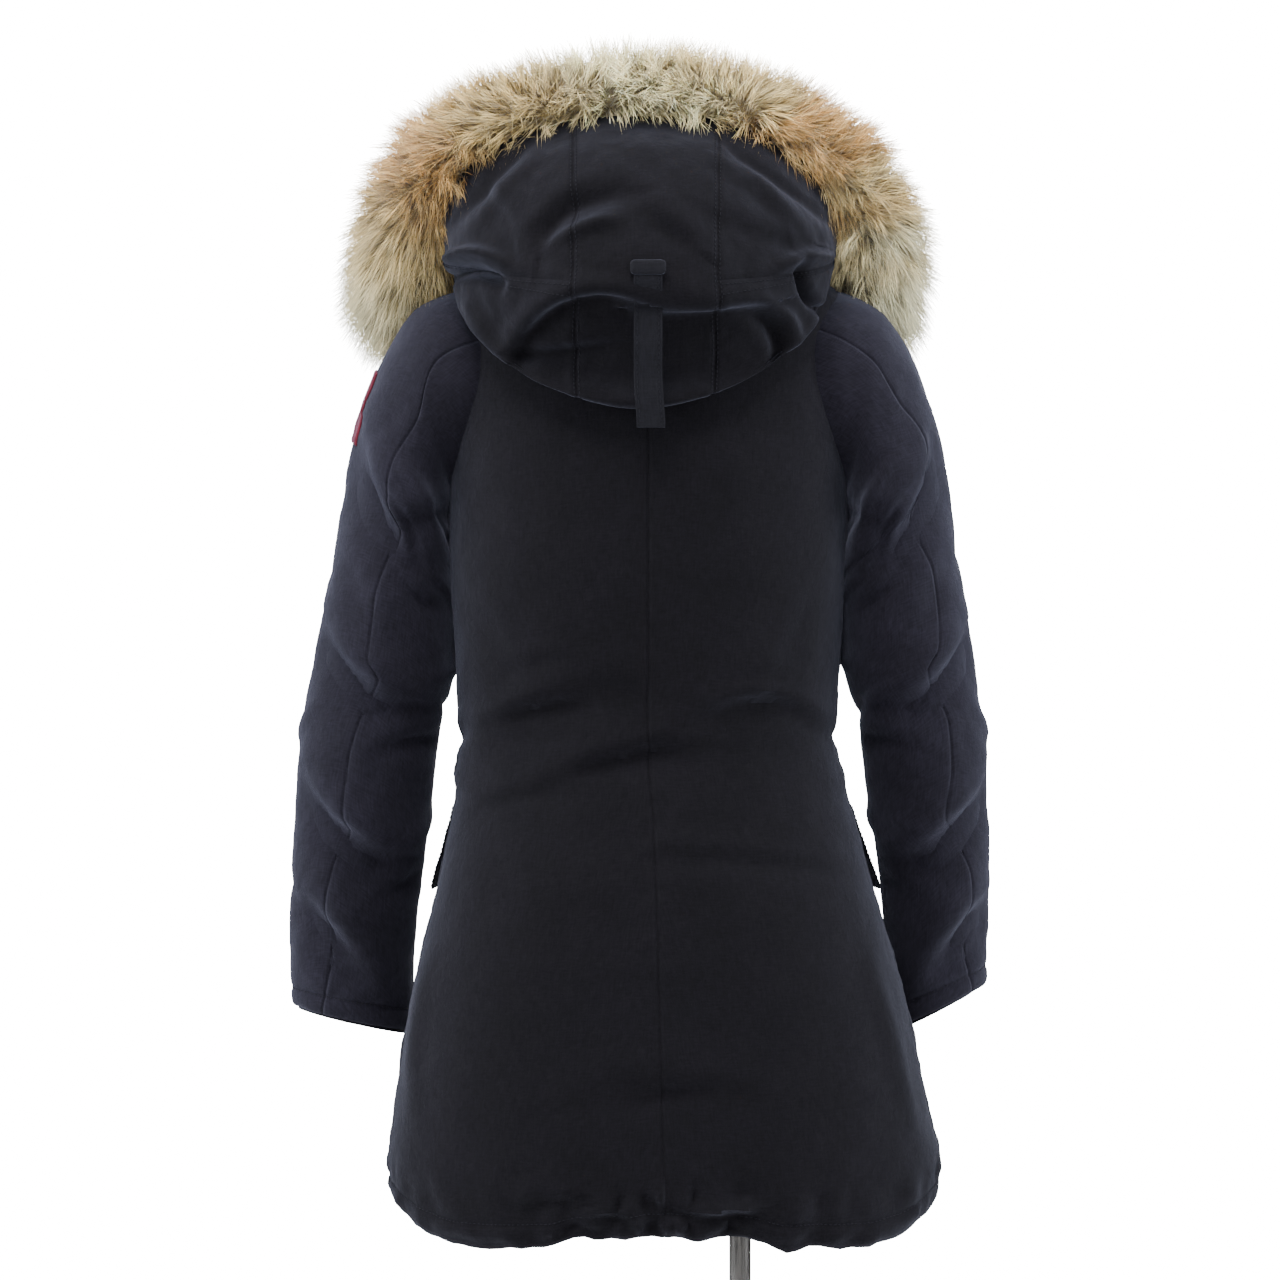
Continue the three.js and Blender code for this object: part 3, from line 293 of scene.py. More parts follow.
# Creases of the hood's back, in the same way as those of the body.
HOOD_CREASES = bends(
    (89, 1475, 66, 1516, 9, 1531, 2.5, 4, -4.5, 13),
    (81, 1480, 50, 1496, 17, 1504, 0, 0, 4.5, 10),
    (-4, 1522, -24, 1500, -50, 1477, 3, 3, 0, 14),
    (-52, 1516, -100, 1498, -146, 1490, 1.5, 2, 0, 16),
    (178, 1462, 150, 1464, 122, 1450, 3, 0, -13, 8),
    (178, 1476, 146, 1480, 112, 1464, 0, 0, 8, 8),
    (-144, 1472, -148, 1446, -170, 1426, 0, 0, -10, 7),
    (-120, 1462, -140, 1474, -170, 1482, 0, 0, 6, 9),
    (114, 1384, 70, 1430, 0, 1431, 6, 7, 0, 10),
    (6, 1422, -60, 1424, -116, 1434, 5.5, 6.5, 0, 11),
    (-100, 1434, -132, 1420, -134, 1384, 0, 0, 4, 9),
    (-96, 1420, -118, 1408, -120, 1384, 0, 0, -6, 10),
    (114, 1390, 66, 1392, 20, 1398, 2, 3, -3, 8),
    (156, 1442, 140, 1412, 116, 1380, 0, 0, 4, 11),
    (-164, 1440, -152, 1412, -132, 1380, 0, 0, 4, 11),
    (140, 1540, 120, 1520, 110, 1490, 2, 2, 0, 14),
    (-84, 1560, -110, 1532, -128, 1500, 2, 2, 0, 14),
    (100, 1578, 132, 1546, 162, 1512, 0, 0, -3.4, 8),
    (90, 1564, 118, 1536, 154, 1498, 0, 0, 2.4, 11),
    (-70, 1578, -112, 1550, -168, 1512, 0, 0, -3.4, 8),
    (-64, 1564, -104, 1536, -150, 1500, 0, 0, 2.4, 11),
)

# The strap down the hood's back.
STRAP = SimpleNamespace(x=-7, wide=25, clear=0.8, top=0.7, bend=0.62, end=1322)

# The ruff's line from the front end round the top of the hood: left and right reach, depth,
# height, and half sizes across the fur away from the hood and through it.
RUFF_LINE = rows_of(
    "at left right y z across through",
    (0, 22, -26, -140, 1408, 22, 20),
    (0.125, 94, -94, -138, 1413, 36, 31),
    (0.25, 162, -158, -110, 1428, 44, 38),
    (0.375, 220, -213, -64, 1446, 49, 44),
    (0.5, 223, -222, -10, 1496, 48, 44),
    (0.625, 201, -193, 24, 1558, 46, 42),
    (0.75, 150, -137, 50, 1601, 43, 40),
    (0.875, 74, -78, 68, 1628, 36, 37),
    (1, -4, -4, 74, 1638, 35, 36),
)
RUFF_MIDDLE = np.array([0.0, -20.0, 1492.0])

# Patches of the fur's colour, by place on the ruff as seen from the back.
FUR_PATCHES = rows_of(
    "x z wide tone",
    (-30, 1640, 62, "cream"),
    (34, 1640, 40, "cream"),
    (112, 1612, 44, "tan"),
    (184, 1556, 44, "rust"),
    (226, 1500, 40, "tan"),
    (236, 1450, 52, "grey"),
    (-96, 1632, 40, "tan"),
    (-156, 1590, 52, "rust"),
    (-208, 1534, 40, "tan"),
    (-240, 1476, 56, "grey"),
    (120, 1420, 70, "tan"),
    (-120, 1420, 70, "grey"),
)

# The zip, the collar, the pockets and their flaps, the badge and the cuffs' facings.
ZIP = SimpleNamespace(half=4, tucked=1.1, bottom=634, back=2, thick=3, meet=0.02)
COLLAR = SimpleNamespace(height=58, lean=0.05)
POCKET = SimpleNamespace(start=2 / 9, stop=6 / 9, bottom=790, top=945, out=6)
POCKET_FLAP = SimpleNamespace(start=1.9 / 9, stop=8 / 9, bottom=905, top=984, lift=5, clear=0.6)
BADGE = SimpleNamespace(start=0.53, stop=0.705, seam=82, top=4 / 21, bottom=6 / 21)
CUFF_FACING = SimpleNamespace(up=20 / 21, below=4)

# How far the dress form lies inside the coat's outer face, and its neck.
FORM_INSET = rows_of(
    "z inset",
    (760, 56), (860, 42), (960, 44), (1045, 48), (1137, 36), (1240, 26), (1340, 20), (1410, 12),
    (1445, 8.5), (1494, 8.5),
)
FORM_BOTTOM = 790
FORM_NECK = [(1500, 54), (1512, 53.4), (1524, 52.6), (1528, 50), (1530, 46), (1530.2, 30), (1530.2, 2)]

# Each cloth's name, threads to a metre, roughness, sheen, height of its wrinkles and threads in
# metres, and the places that its threads follow.
CLOTHS = rows_of(
    "kind name threads rough sheen wrinkle relief places",
    ("shell", "navy shell cloth", 1100, 0.85, 0.06, 0.0012, 0.00012, "UV"),
    # The sleeve cloth is the shell's cloth with painted light: its colour is made lighter and bluer for the
    # light on the sleeves.
    ("sleeve", "navy sleeve cloth", 1100, 0.85, 0.08, 0.0012, 0.00012, "UV"),
    ("tape", "navy tape", 700, 0.7, 0.1, 0.0004, 0.0002, "UV"),
    ("badge", "plain badge twill", 900, 0.75, 0.1, 0.0003, 0.0002, "UV"),
    ("jersey", "form jersey", 800, 0.85, 0.15, 0.0003, 0.0002, "Object"),
)

POLE_X = -92
# The camera, in metres and millimetres of lens, and the tint of the side lights.
EYE = SimpleNamespace(away=3.0, high=1.137, lens=91.7, sensor=36)
COOL = (0.91, 0.945, 1.0)


# Reading tables and making smooth values


def clamp01(value):
    return np.clip(value, 0.0, 1.0)


def ease(value, start, stop):
    """Share of the way from start to stop, eased at both ends."""
    share = clamp01((np.asarray(value, float) - start) / (stop - start))
    return share * share * (3 - 2 * share)


def mix(a, b, share):
    return a + (b - a) * share


def bump(distance, wide):
    """One at a line, and none a few widths away from it."""
    return np.exp(-((distance / wide) ** 2))


class Table:
    """Reads every column of a table of rows at any value of its key, smoothly and with no overshoot."""

    def __init__(self, key, rows):
        self.keys = np.array([getattr(row, key) for row in rows], float)
        names = [name for name in vars(rows[0]) if name != key]
        self.columns = {n: np.array([getattr(row, n) for row in rows], float) for n in names}
        self.slopes = {n: self.slopes_of(column) for n, column in self.columns.items()}

    def slopes_of(self, column):
        secants = np.diff(column) / np.diff(self.keys)
        before, after = secants[:-1], secants[1:]
        even = np.where(before + after == 0, 1, before + after)
        inner = np.where(before * after <= 0, 0, 2 * before * after / even)
        return np.concatenate([secants[:1], inner, secants[-1:]])

    def __call__(self, value):
        value = np.asarray(value, float)
        high = np.clip(np.searchsorted(self.keys, value), 1, len(self.keys) - 1)
        low = high - 1
        step = self.keys[high] - self.keys[low]
        t = clamp01((value - self.keys[low]) / step)
        read = {}
        for name, column in self.columns.items():
            slope = self.slopes[name]
            read[name] = (
                (2 * t**3 - 3 * t**2 + 1) * column[low]
                + (t**3 - 2 * t**2 + t) * slope[low] * step
                + (3 * t**2 - 2 * t**3) * column[high]
                + (t**3 - t**2) * slope[high] * step
            )
        return SimpleNamespace(**read)


body_ring = Table("z", BODY_RINGS)
hem_rise = Table("turn", HEM_RISE)
form_inset = Table("z", FORM_INSET)
sleeve_rib = Table("at", SLEEVE_RIBS)
hood_row = Table("at", HOOD_ROWS)
ruff_size = Table("at", RUFF_LINE)
back_seams = {word: Table("at", rows) for word, rows in SLEEVE_BACK_SEAM.items()}


def squared(value, power=2 / PLAN_POWER):
    """Sine or cosine, raised so that a ring is squarer than an ellipse."""
    return np.sign(value) * np.abs(value) ** power


def stacked(x, y, z):
    return np.stack(np.broadcast_arrays(x, y, z), axis=-1)


def unit(vectors):
    return vectors / np.maximum(np.linalg.norm(vectors, axis=-1, keepdims=True), 1e-9)


def normals_of(form, u, v, du, dv):
    """Outward normals of a form, by differences."""
    along_u = form(u + du, v) - form(u - du, v)
    along_v = form(u, v + dv) - form(u, v - dv)
    return unit(np.cross(along_u, along_v))


def face_of(form, height, u, v, du, dv, out, smooth):
    """Points of a form, moved out along its normals by the cloth's height and by any more."""
    u, v = np.broadcast_arrays(np.asarray(u, float), np.asarray(v, float))
    points = form(u, v)
    lift = 0 if smooth else height(u, v, points)
    return points + normals_of(form, u, v, du, dv) * np.asarray(lift + out)[..., None]


def waves(points, size, seed, octaves=3):
    """Smooth noise from about -1 to 1 at points in millimetres, its largest lumps of the size."""
    flat = (points.reshape(-1, 3) / size + seed * 7.31).tolist()
    found = [noise.fractal(Vector(p), 0.9, 2.1, octaves, noise_basis="PERLIN_ORIGINAL") for p in flat]
    return np.array(found).reshape(points.shape[:-1])


def fold_height(folds, x, z, times=1.0):
    """How far folds and creases move a point of a surface that faces the back."""
    height = np.zeros(np.shape(x))
    t = np.linspace(0, 1, 21)
    for fold in folds:
        cx = 2 * fold.x1 - (fold.x0 + fold.x2) / 2
        cz = 2 * fold.z1 - (fold.z0 + fold.z2) / 2
        bend_x = (1 - t) ** 2 * fold.x0 + 2 * t * (1 - t) * cx + t**2 * fold.x2
        bend_z = (1 - t) ** 2 * fold.z0 + 2 * t * (1 - t) * cz + t**2 * fold.z2
        near = np.full(np.shape(x), np.inf)
        side = np.zeros(np.shape(x))
        along = np.zeros(np.shape(x))
        for k in range(len(t) - 1):
            ax, az = bend_x[k], bend_z[k]
            dx, dz = bend_x[k + 1] - ax, bend_z[k + 1] - az
            share = clamp01(((x - ax) * dx + (z - az) * dz) / (dx * dx + dz * dz))
            off_x, off_z = x - ax - share * dx, z - az - share * dz
            distance = np.hypot(off_x, off_z)
            closer = distance < near
            near = np.where(closer, distance, near)
            side = np.where(closer, off_z * abs(dx) - off_x * dz * np.sign(dx), side)
            along = np.where(closer, (k + share) / (len(t) - 1), along)
        taper = np.sin(math.pi * mix(0.06, 0.94, along)) ** 0.8
        away = near / fold.reach
        lift = np.where(side > 0, fold.lip, -fold.furrow) * away * np.exp(1 - away - 0.3 * away**2)
        height = height + taper * (lift + fold.crest * np.exp(-2 * away**2))
    return height * times


def turned_by(angle):
    """Degrees from -180 to 180."""
    return (np.asarray(angle, float) + 180) % 360 - 180


# The coat's surfaces


def hem_lift(angle):
    return hem_rise(np.abs(turned_by(angle))).rise


def body_form(angle, level):
    """Points of the body's smooth form. The angle runs from the front, by the wearer's left."""
    ring = body_ring(level)
    a = np.radians(angle)
    depth = np.where(np.cos(a) > 0, ring.front, ring.back)
    fade = 1 - ease(level, HEM_LEVEL, HEM_LEVEL + HEM_FADE)
    x = ring.lean + ring.side * squared(np.sin(a))
    z = level - ring.tilt * np.cos(a) + hem_lift(angle) * fade
    return stacked(x, -depth * squared(np.cos(a)), z)


def front_angle(across, level):
    """The angle where the body's ring passes a distance across from its middle, on the front."""
    share = np.abs(across) / body_ring(level).side
    return np.sign(across) * np.degrees(np.arcsin(share ** (PLAN_POWER / 2)))


def zip_edge(level):
    """The angle of a front's edge, which turns in to meet the other one below the zip."""
    met = ease(level, ZIP.bottom, ZIP.bottom + 10)
    return front_angle(mix(ZIP.meet, ZIP.half + GAP / 2, met), level)


def body_height(angle, level, points):
    """Folds, creases, puff and seams of the body's outer face."""
    cloth = settings().cloth
    a = np.radians(angle)
    back = ease(-np.cos(a), 0, 0.35)
    height = np.maximum(0, -np.cos(a)) * fold_height(BACK_FOLDS, points[..., 0], points[..., 2])
    height = height + back * fold_height(BACK_CREASES, points[..., 0], points[..., 2], cloth.crease)
    for wrap in BODY_WRAPS:
        off = turned_by(angle - wrap.turn)
        line = wrap.level + wrap.climb * off
        height = height + cloth.crease * wrap.lift * bump(off, wrap.span) * bump(level - line, wrap.wide)
    seams = [SIDE_SEAM, BACK_SEAM, 360 - SIDE_SEAM]
    speed = np.linalg.norm(body_form(angle + 1, level) - points, axis=-1)
    seam = np.min([np.abs(turned_by(angle - s)) for s in seams], axis=0) * speed
    edge = np.abs(np.abs(turned_by(angle)) - zip_edge(level)) * speed
    pucker = waves(points * [1, 1, 2.6], 21, 3, 2)
    depth = cloth.seam_depth / MM
    height = height - 0.45 * depth * bump(seam, 1.7) + (0.3 + 0.9 * pucker) * bump(seam - 8, 8)
    height = height - 2.4 * np.exp(-edge / 2.5) - 1.2 * bump(edge - FRONT_LINE, 2.6)
    up = level - HEM_LEVEL
    gather = waves(points * [1, 1, 0.35], 15, 9, 2)
    height = height - 3.2 * np.exp(-up / 3.2) - (0.7 + 0.8 * gather) * bump(up - HEM_LINE, 3.4)
    more = 1 + 1.3 * bump(turned_by(angle - 180), 36)
    height = height + more * gather * (5 * bump(up - 11, 8) + 3.6 * bump(up - 38, 15))
    height = height + 1.2 * bump(up - 12, 8)
    crumple = cloth.crumple / MM
    calm = 1 - 0.7 * ease(level, 1430, 1480)
    height = height + crumple * calm * waves(points * [1, 1, 0.8], 90, 1, 3)
    return height + 0.4 * crumple * calm * waves(points * [1, 1, 1.4], 24, 2, 2)


def body_face(angle, level, out=0.0, smooth=False):
    angle, level = np.broadcast_arrays(np.asarray(angle, float), np.asarray(level, float))
    uneven = waves(body_form(angle, level) * [1, 1, 0.2], 26, 13, 2)
    scallop = 5 * np.exp(-(level - HEM_LEVEL) / 14) * uneven
    face = face_of(body_form, body_height, angle, level, 0.5, 1, out, smooth)
    return face + scallop[..., None] * [0, 0, 1]


def spread(ring, x, y):
    """How far out a place in plan lies from the middle of a ring, which is at 1."""
    depth = np.where(y < 0, ring.front, ring.back)
    return np.abs((x - ring.lean) / ring.side) ** PLAN_POWER + np.abs(y / depth) ** PLAN_POWER


def depth_in_body(points):
    """Below 0 outside the body's smooth form, and above 0 inside it, as a share of its width."""
    x, y, z = points[..., 0], points[..., 1], points[..., 2]
    level = z - body_ring(z).tilt * y / 100
    beyond = (level > NECK_LEVEL + 2) | (level < HEM_LEVEL)
    return np.where(beyond, -1, 1 - spread(body_ring(level), x, y))


def sleeve_form(word):
    side, hang = SIDES[word], HANG[word]

    def form(angle, at):
        rib = sleeve_rib(at)
        swing = ease(at, 0.2, 1)
        out_x = rib.out_x + hang.outer * swing
        out_z = rib.out_z - hang.drop * ease(at, 0.6, 1)
        in_x = rib.in_x + hang.inner * ease(at, 0.3, 0.62)
        cos, sin = np.cos(np.radians(angle)), np.sin(np.radians(angle))
        x = (out_x + in_x) / 2 + (out_x - in_x) / 2 * cos
        z = (out_z + rib.in_z) / 2 + (out_z - rib.in_z) / 2 * cos
        y = rib.mid_y - hang.fore * swing + rib.half_y * sin
        return stacked(side * x + SLEEVE_SHIFT, y, z)

    return form


def sleeve_back_seam(word, at):
    return back_seams[word](at).angle


def sleeve_height(word, angle, at, points):
    """Folds, creases, puff and seams of a sleeve's outer face."""
    cloth = settings().cloth
    side = SIDES[word]
    x, z = side * (points[..., 0] - SLEEVE_SHIFT), points[..., 2]
    facing = np.sin(np.radians(angle))
    share = np.where(facing > 0, ease(facing, 0, 0.5), 0.6 * ease(-facing, 0, 0.5))
    height = share * fold_height(SLEEVE_FOLDS, x, z) * ease(at, 0.16, 0.26)
    height = height + ease(facing, -0.1, 0.5) * fold_height(SLEEVE_CREASES, x, z, cloth.crease)
    for k, wrap in enumerate(SLEEVE_WRAPS):
        off = turned_by(angle - wrap.turn - 6 * side * (k % 3 - 1))
        line = wrap.at + wrap.climb * off + 0.006 * side * (k % 2)
        height = height + cloth.crease * wrap.lift * bump(off, wrap.span) * bump(at - line, wrap.wide)
    speed = np.linalg.norm(sleeve_form(word)(angle + 1, at) - points, axis=-1)
    seams = [sleeve_back_seam(word, at), SLEEVE_FRONT_SEAM]
    seam = np.min([np.abs(turned_by(angle - s)) for s in seams], axis=0) * speed
    pucker = waves(points * [1, 1, 2.2], 19, 5, 2)
    depth = cloth.seam_depth / MM
    height = height - 0.45 * depth * bump(seam, 1.5) + (0.2 + 0.9 * pucker) * bump(seam - 9, 9)
    up = (1 - at) * SLEEVE_LENGTH
    height = height - 2.0 * np.exp(-up / 2.6) - 1.5 * bump(up - CUFF_LINE, 3)
    crumple = 1.25 * cloth.crumple / MM
    height = height + crumple * waves(points * [1, 1, 0.9], 70, 11, 3)
    return height + 0.45 * crumple * waves(points, 22, 12, 2)


def sleeve_face(word, angle, at, out=0.0, smooth=False):
    height = partial(sleeve_height, word)
    return face_of(sleeve_form(word), height, angle, at, -SIDES[word], 0.004, out, smooth)


def armhole(word, angle, sink=5.0):
    """Where a sleeve's face leaves the body, as shares of its length, a little inside the cloth."""
    form = sleeve_form(word)
    angle = np.asarray(angle, float)
    low, high = np.zeros(angle.shape), np.full(angle.shape, ARMHOLE_END)
    for _ in range(22):
        middle = (low + high) / 2
        points = form(angle, middle)
        inward = (points - [SLEEVE_SHIFT, 0, 0]) * [1, 1, 0]
        outside = depth_in_body(points + unit(inward) * sink) < 0
        high = np.where(outside, middle, high)
        low = np.where(outside, low, middle)
    return low


def soft_max(a, b, reach):
    share = clamp01(0.5 + (a - b) / (2 * reach))
    return mix(b, a, share) + reach * share * (1 - share)


def shoulder_height(x, y):
    """The height of the body's shoulders at places in plan, or far below where there are none."""
    low = np.full(np.shape(x), float(SHOULDER_FROM))
    high = np.full(np.shape(x), float(NECK_LEVEL))
    none = spread(body_ring(low), x, y) > 1
    for _ in range(16):
        middle = (low + high) / 2
        out = spread(body_ring(middle), x, y) > 1
        high = np.where(out, middle, high)
        low = np.where(out, low, middle)
    ring = body_ring(low)
    return np.where(none, -1e4, low + ring.tilt * y / np.where(y < 0, ring.front, ring.back))


def hood_form(turn, at):
    """Points of the hood: turn runs from the left front end, -1, by the back, 0, to the right, 1."""
    turn, at = np.broadcast_arrays(np.asarray(turn, float), np.asarray(at, float))
    row = hood_row(at)
    round_by = np.abs(turn) * row.end
    a = np.radians(round_by)
    rear = round_by < 90
    depth = np.where(rear, row.back, row.fore)
    climb = np.where(rear, np.maximum(1 - np.cos(a), 0) ** row.climb, 1)
    past = clamp01((round_by - 90) / (row.end - 90))
    onward = mix(ease(past, 0, 1), np.sin(np.radians(90 * past)), at)
    x = -np.sign(turn) * row.wide * np.sin(a)
    y = row.mid + depth * np.cos(a)
    z = mix(mix(row.z_back, row.z_side, climb), row.z_end, onward)
    recess = HOOD_RECESS
    inside = ((x - recess.x) / recess.wide) ** 2 + ((z - recess.z) / recess.high) ** 2
    y = y - np.where(rear, recess.deep * np.exp(-(inside**2)) * ease(at, recess.start, recess.full), 0)
    z = soft_max(z, shoulder_height(x, y) + HOOD_CLEAR, HOOD_SOFTNESS)
    return stacked(x, y, z)


def hood_height(turn, at, points):
    """Creases, puff and seams of the hood's outer face."""
    cloth = settings().cloth
    back = ease(np.cos(np.radians(np.abs(turn) * 166)), -0.1, 0.35) * ease(at, 0.38, 0.46)
    height = back * fold_height(HOOD_CREASES, points[..., 0], points[..., 2], cloth.crease)
    speed = np.linalg.norm(hood_form(turn + 0.01, at) - points, axis=-1) / 0.01
    seam = np.min([np.abs(turn - s) for s in (HOOD_SEAMS.left, HOOD_SEAMS.right)], axis=0) * speed
    rise = np.linalg.norm(hood_form(turn, at + 0.01) - points, axis=-1) / 0.01
    at_side = (turn < HOOD_SEAMS.left) | (turn > HOOD_SEAMS.right)
    yoke = np.abs(at - HOOD_SEAMS.yoke) * rise + np.where(at_side, 0, 1e3)
    depth = 0.4 * cloth.seam_depth / MM
    height = height - depth * bump(seam, 2.2) - depth * bump(yoke, 2.2)
    height = height + 0.3 * bump(seam - 6, 4) + 0.3 * bump(yoke - 7, 5)
    pucker = waves(points * [1.3, 1, 1.3], 16, 17, 2)
    height = height + 0.5 * pucker * (bump(seam - 5, 6) + bump(yoke - 6, 7))
    free = ease(at, 0.36, 0.5)
    crumple = cloth.crumple / MM * (0.3 + free)
    height = height + 1.1 * crumple * waves(points, 66, 21, 3)
    return height + 0.4 * crumple * waves(points, 20, 22, 2)


def hood_face(turn, at, out=0.0, smooth=False):
    return face_of(hood_form, hood_height, turn, at, 0.004, 0.004, out, smooth)


def collar_face(angle, share, out=0.0):
    """The stand-up collar, which rises from the neck and leans in a little."""

    def form(turn, up):
        point = body_form(turn, NECK_LEVEL)
        lean = 1 - COLLAR.lean * up
        return stacked(point[..., 0] * lean, point[..., 1] * lean, point[..., 2] + GAP + up * COLLAR.height)

    return face_of(form, None, angle, share, 0.5, 0.004, out, True)


# Making meshes


def crowded(start, stop, steps, crowd=0.75):
    """Values from start to stop that lie closer together near both ends."""
    t = np.linspace(0, 1, steps + 1)
    return mix(start, stop, t - crowd * np.sin(2 * math.pi * t) / (2 * math.pi))


def link(name, data):
    obj = bpy.data.objects.new(name, data)
    bpy.context.scene.collection.objects.link(obj)
    return obj


def mesh_piece(name, points, faces, uvs=None, sharp=48):
    """A smooth-shaded object from points in millimetres, corner numbers, and a place for each point."""
    used, corners = np.unique(np.concatenate([np.ravel(f) for f in faces]), return_inverse=True)
    sizes = [f.shape[1] for f in faces for _ in range(len(f))]
    starts = np.concatenate([[0], np.cumsum(sizes)[:-1]])
    mesh = bpy.data.meshes.new(name)
    mesh.vertices.add(len(used))
    mesh.vertices.foreach_set("co", (points[used] * MM).astype(np.float32).ravel())
    mesh.loops.add(len(corners))
    mesh.loops.foreach_set("vertex_index", corners.astype(np.int32))
    mesh.polygons.add(len(sizes))
    mesh.polygons.foreach_set("loop_start", starts.astype(np.int32))
    if uvs is not None:
        layer = mesh.uv_layers.new(name="cloth")
        layer.uv.foreach_set("vector", (uvs[used][corners] * MM).astype(np.float32).ravel())
    mesh.update(calc_edges=True)
    mesh.validate()
    mesh.polygons.foreach_set("use_smooth", np.ones(len(mesh.polygons), bool))
    mesh.set_sharp_from_angle(angle=math.radians(sharp))
    return link(name, mesh)


def lengths_along(points, axis):
    """Distance run along a grid's rows or columns, from its middle."""
    steps = np.linalg.norm(np.diff(points, axis=axis), axis=-1)
    run = np.cumsum(steps, axis=axis)
    start = np.zeros_like(np.take(run, [0], axis=axis))
    run = np.concatenate([start, run], axis=axis)
    return run - np.take(run, [run.shape[axis] // 2], axis=axis)


def cloth_wall(name, outer, inner, keep=None, closed=False):
    """A closed wall of cloth between two faces on one grid, open where cells aren't kept."""
    rows, columns = outer.shape[:2]
    ids = np.arange(rows * columns).reshape(rows, columns)
    if closed:
        ids = np.concatenate([ids, ids[:, :1]], axis=1)
    a, b, c, d = ids[:-1, :-1], ids[:-1, 1:], ids[1:, 1:], ids[1:, :-1]
    quads = np.stack([a, b, c, d], axis=-1).reshape(-1, 4)
    if keep is not None:
        quads = quads[keep.ravel()]
    count = rows * columns
    points = np.concatenate([outer.reshape(-1, 3), inner.reshape(-1, 3)])
    p = points[quads]
    facing = np.cross(p[:, 2] - p[:, 0], p[:, 3] - p[:, 1])
    through = points[quads[:, 0]] - points[quads[:, 0] + count]
    if (facing * through).sum() < 0:
        quads = quads[:, ::-1]
    edges = np.concatenate([quads[:, [k, (k + 1) % 4]] for k in range(4)])
    key = edges[:, 0] * count + edges[:, 1]
    twin = edges[:, 1] * count + edges[:, 0]
    rim = edges[~np.isin(key, twin)]
    rims = np.stack([rim[:, 1], rim[:, 0], rim[:, 0] + count, rim[:, 1] + count], axis=-1)
    faces = [np.concatenate([quads, quads[:, ::-1] + count, rims])]
    u, v = lengths_along(outer, 1), lengths_along(outer, 0)
    uvs = np.stack([u.ravel(), v.ravel()], axis=-1)
    return mesh_piece(name, points, faces, np.concatenate([uvs, uvs]))


def cut_size(grid):
    """Flat width, length and area in metres of cloth that a grid of points in millimetres shows."""
    across = np.linalg.norm(np.diff(grid, axis=1), axis=-1).sum(axis=1).max()
    down = np.linalg.norm(np.diff(grid, axis=0), axis=-1).sum(axis=0).max()
    one = np.cross(grid[1:, 1:] - grid[:-1, :-1], grid[1:, :-1] - grid[:-1, 1:])
    area = np.linalg.norm(one, axis=-1).sum() / 2
    return round(across * MM, 3), round(down * MM, 3), area * MM * MM


def finish_sheet(obj, grid, kind, slot, node, held, *rests_on):
    """Gives a piece of cloth its finish and its place in the frame, and works out the size it was cut to."""
    obj.data.materials.append(cloth_material(kind))
    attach(obj, "root")
    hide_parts(node)
    wide, long, area = cut_size(grid)
    area = min(area, wide * long)


def finish_part(obj, material, slot, *nodes):
    """Gives any other piece its finish and its place in the frame."""
    if not obj.data.materials:
        obj.data.materials.append(material)
    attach(obj, "root")
    if nodes:
        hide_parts(*nodes)


def tube_faces(rings, sides):
    """Corner numbers of a tube's faces, from ring to ring of its points, and of its two ends."""
    ids = np.arange(rings * sides).reshape(rings, sides)
    after = np.roll(ids, -1, axis=1)
    quads = np.stack([ids[:-1], after[:-1], after[1:], ids[1:]], axis=-1).reshape(-1, 4)
    return [quads, ids[:1, ::-1], ids[-1:]]


def turned_piece(name, profile, x, sides=72):
    """A piece turned round a vertical line, from pairs of radius and height in millimetres."""
    turn = np.linspace(0, 2 * math.pi, sides, endpoint=False)
    rings = [stacked(x + r * np.cos(turn), r * np.sin(turn), np.full(sides, float(z))) for r, z in profile]
    return mesh_piece(name, np.concatenate(rings), tube_faces(len(rings), sides), sharp=35)


# Materials


class Shader:
    """Short ways to add nodes and links to a material, a group or a tree."""

    def __init__(self, tree):
        self.tree = tree

    def feed(self, node, inputs):
        """Feeds inputs by name or number: a socket is linked, and a plain value is set."""
        for name, value in inputs.items():
            if isinstance(value, bpy.types.NodeSocket):
                self.tree.links.new(value, node.inputs[name])
            else:
                node.inputs[name].default_value = value

    def add(self, kind, inputs=None, **values):
        node = self.tree.nodes.new(kind)
        for name, value in values.items():
            setattr(node, name, value)
        self.feed(node, inputs or {})
        return node

    def maths(self, operation, *terms):
        return self.add("ShaderNodeMath", dict(enumerate(terms)), operation=operation).outputs[0]

    def blend(self, share, first, second, kind="MIX"):
        inputs = {0: share, 6: first, 7: second}
        return self.add("ShaderNodeMix", inputs, data_type="RGBA", blend_type=kind).outputs[2]

    def span(self, value, low, high, to_low=0.0, to_high=1.0):
        inputs = {"Value": value, "From Min": low, "From Max": high, "To Min": to_low, "To Max": to_high}
        return self.add("ShaderNodeMapRange", inputs).outputs["Result"]

    def cloudy(self, places, scale, detail, distortion=0.0):
        inputs = {"Vector": places, "Scale": scale, "Detail": detail, "Distortion": distortion}
        return self.add("ShaderNodeTexNoise", inputs).outputs["Fac"]

    def relief(self, height, strength, distance, over=None):
        """A normal from a height, over another normal where there is one."""
        inputs = {"Strength": strength, "Distance": distance, "Height": height}
        if over:
            inputs["Normal"] = over
        return self.add("ShaderNodeBump", inputs).outputs["Normal"]


def built_once(store):
    """Has what a name stands for built only where Blender's store of its kind doesn't hold it yet."""

    def kept(build):
        def find(name, *values):
            return getattr(bpy.data, store).get(name) or build(name, *values)

        return find

    return kept


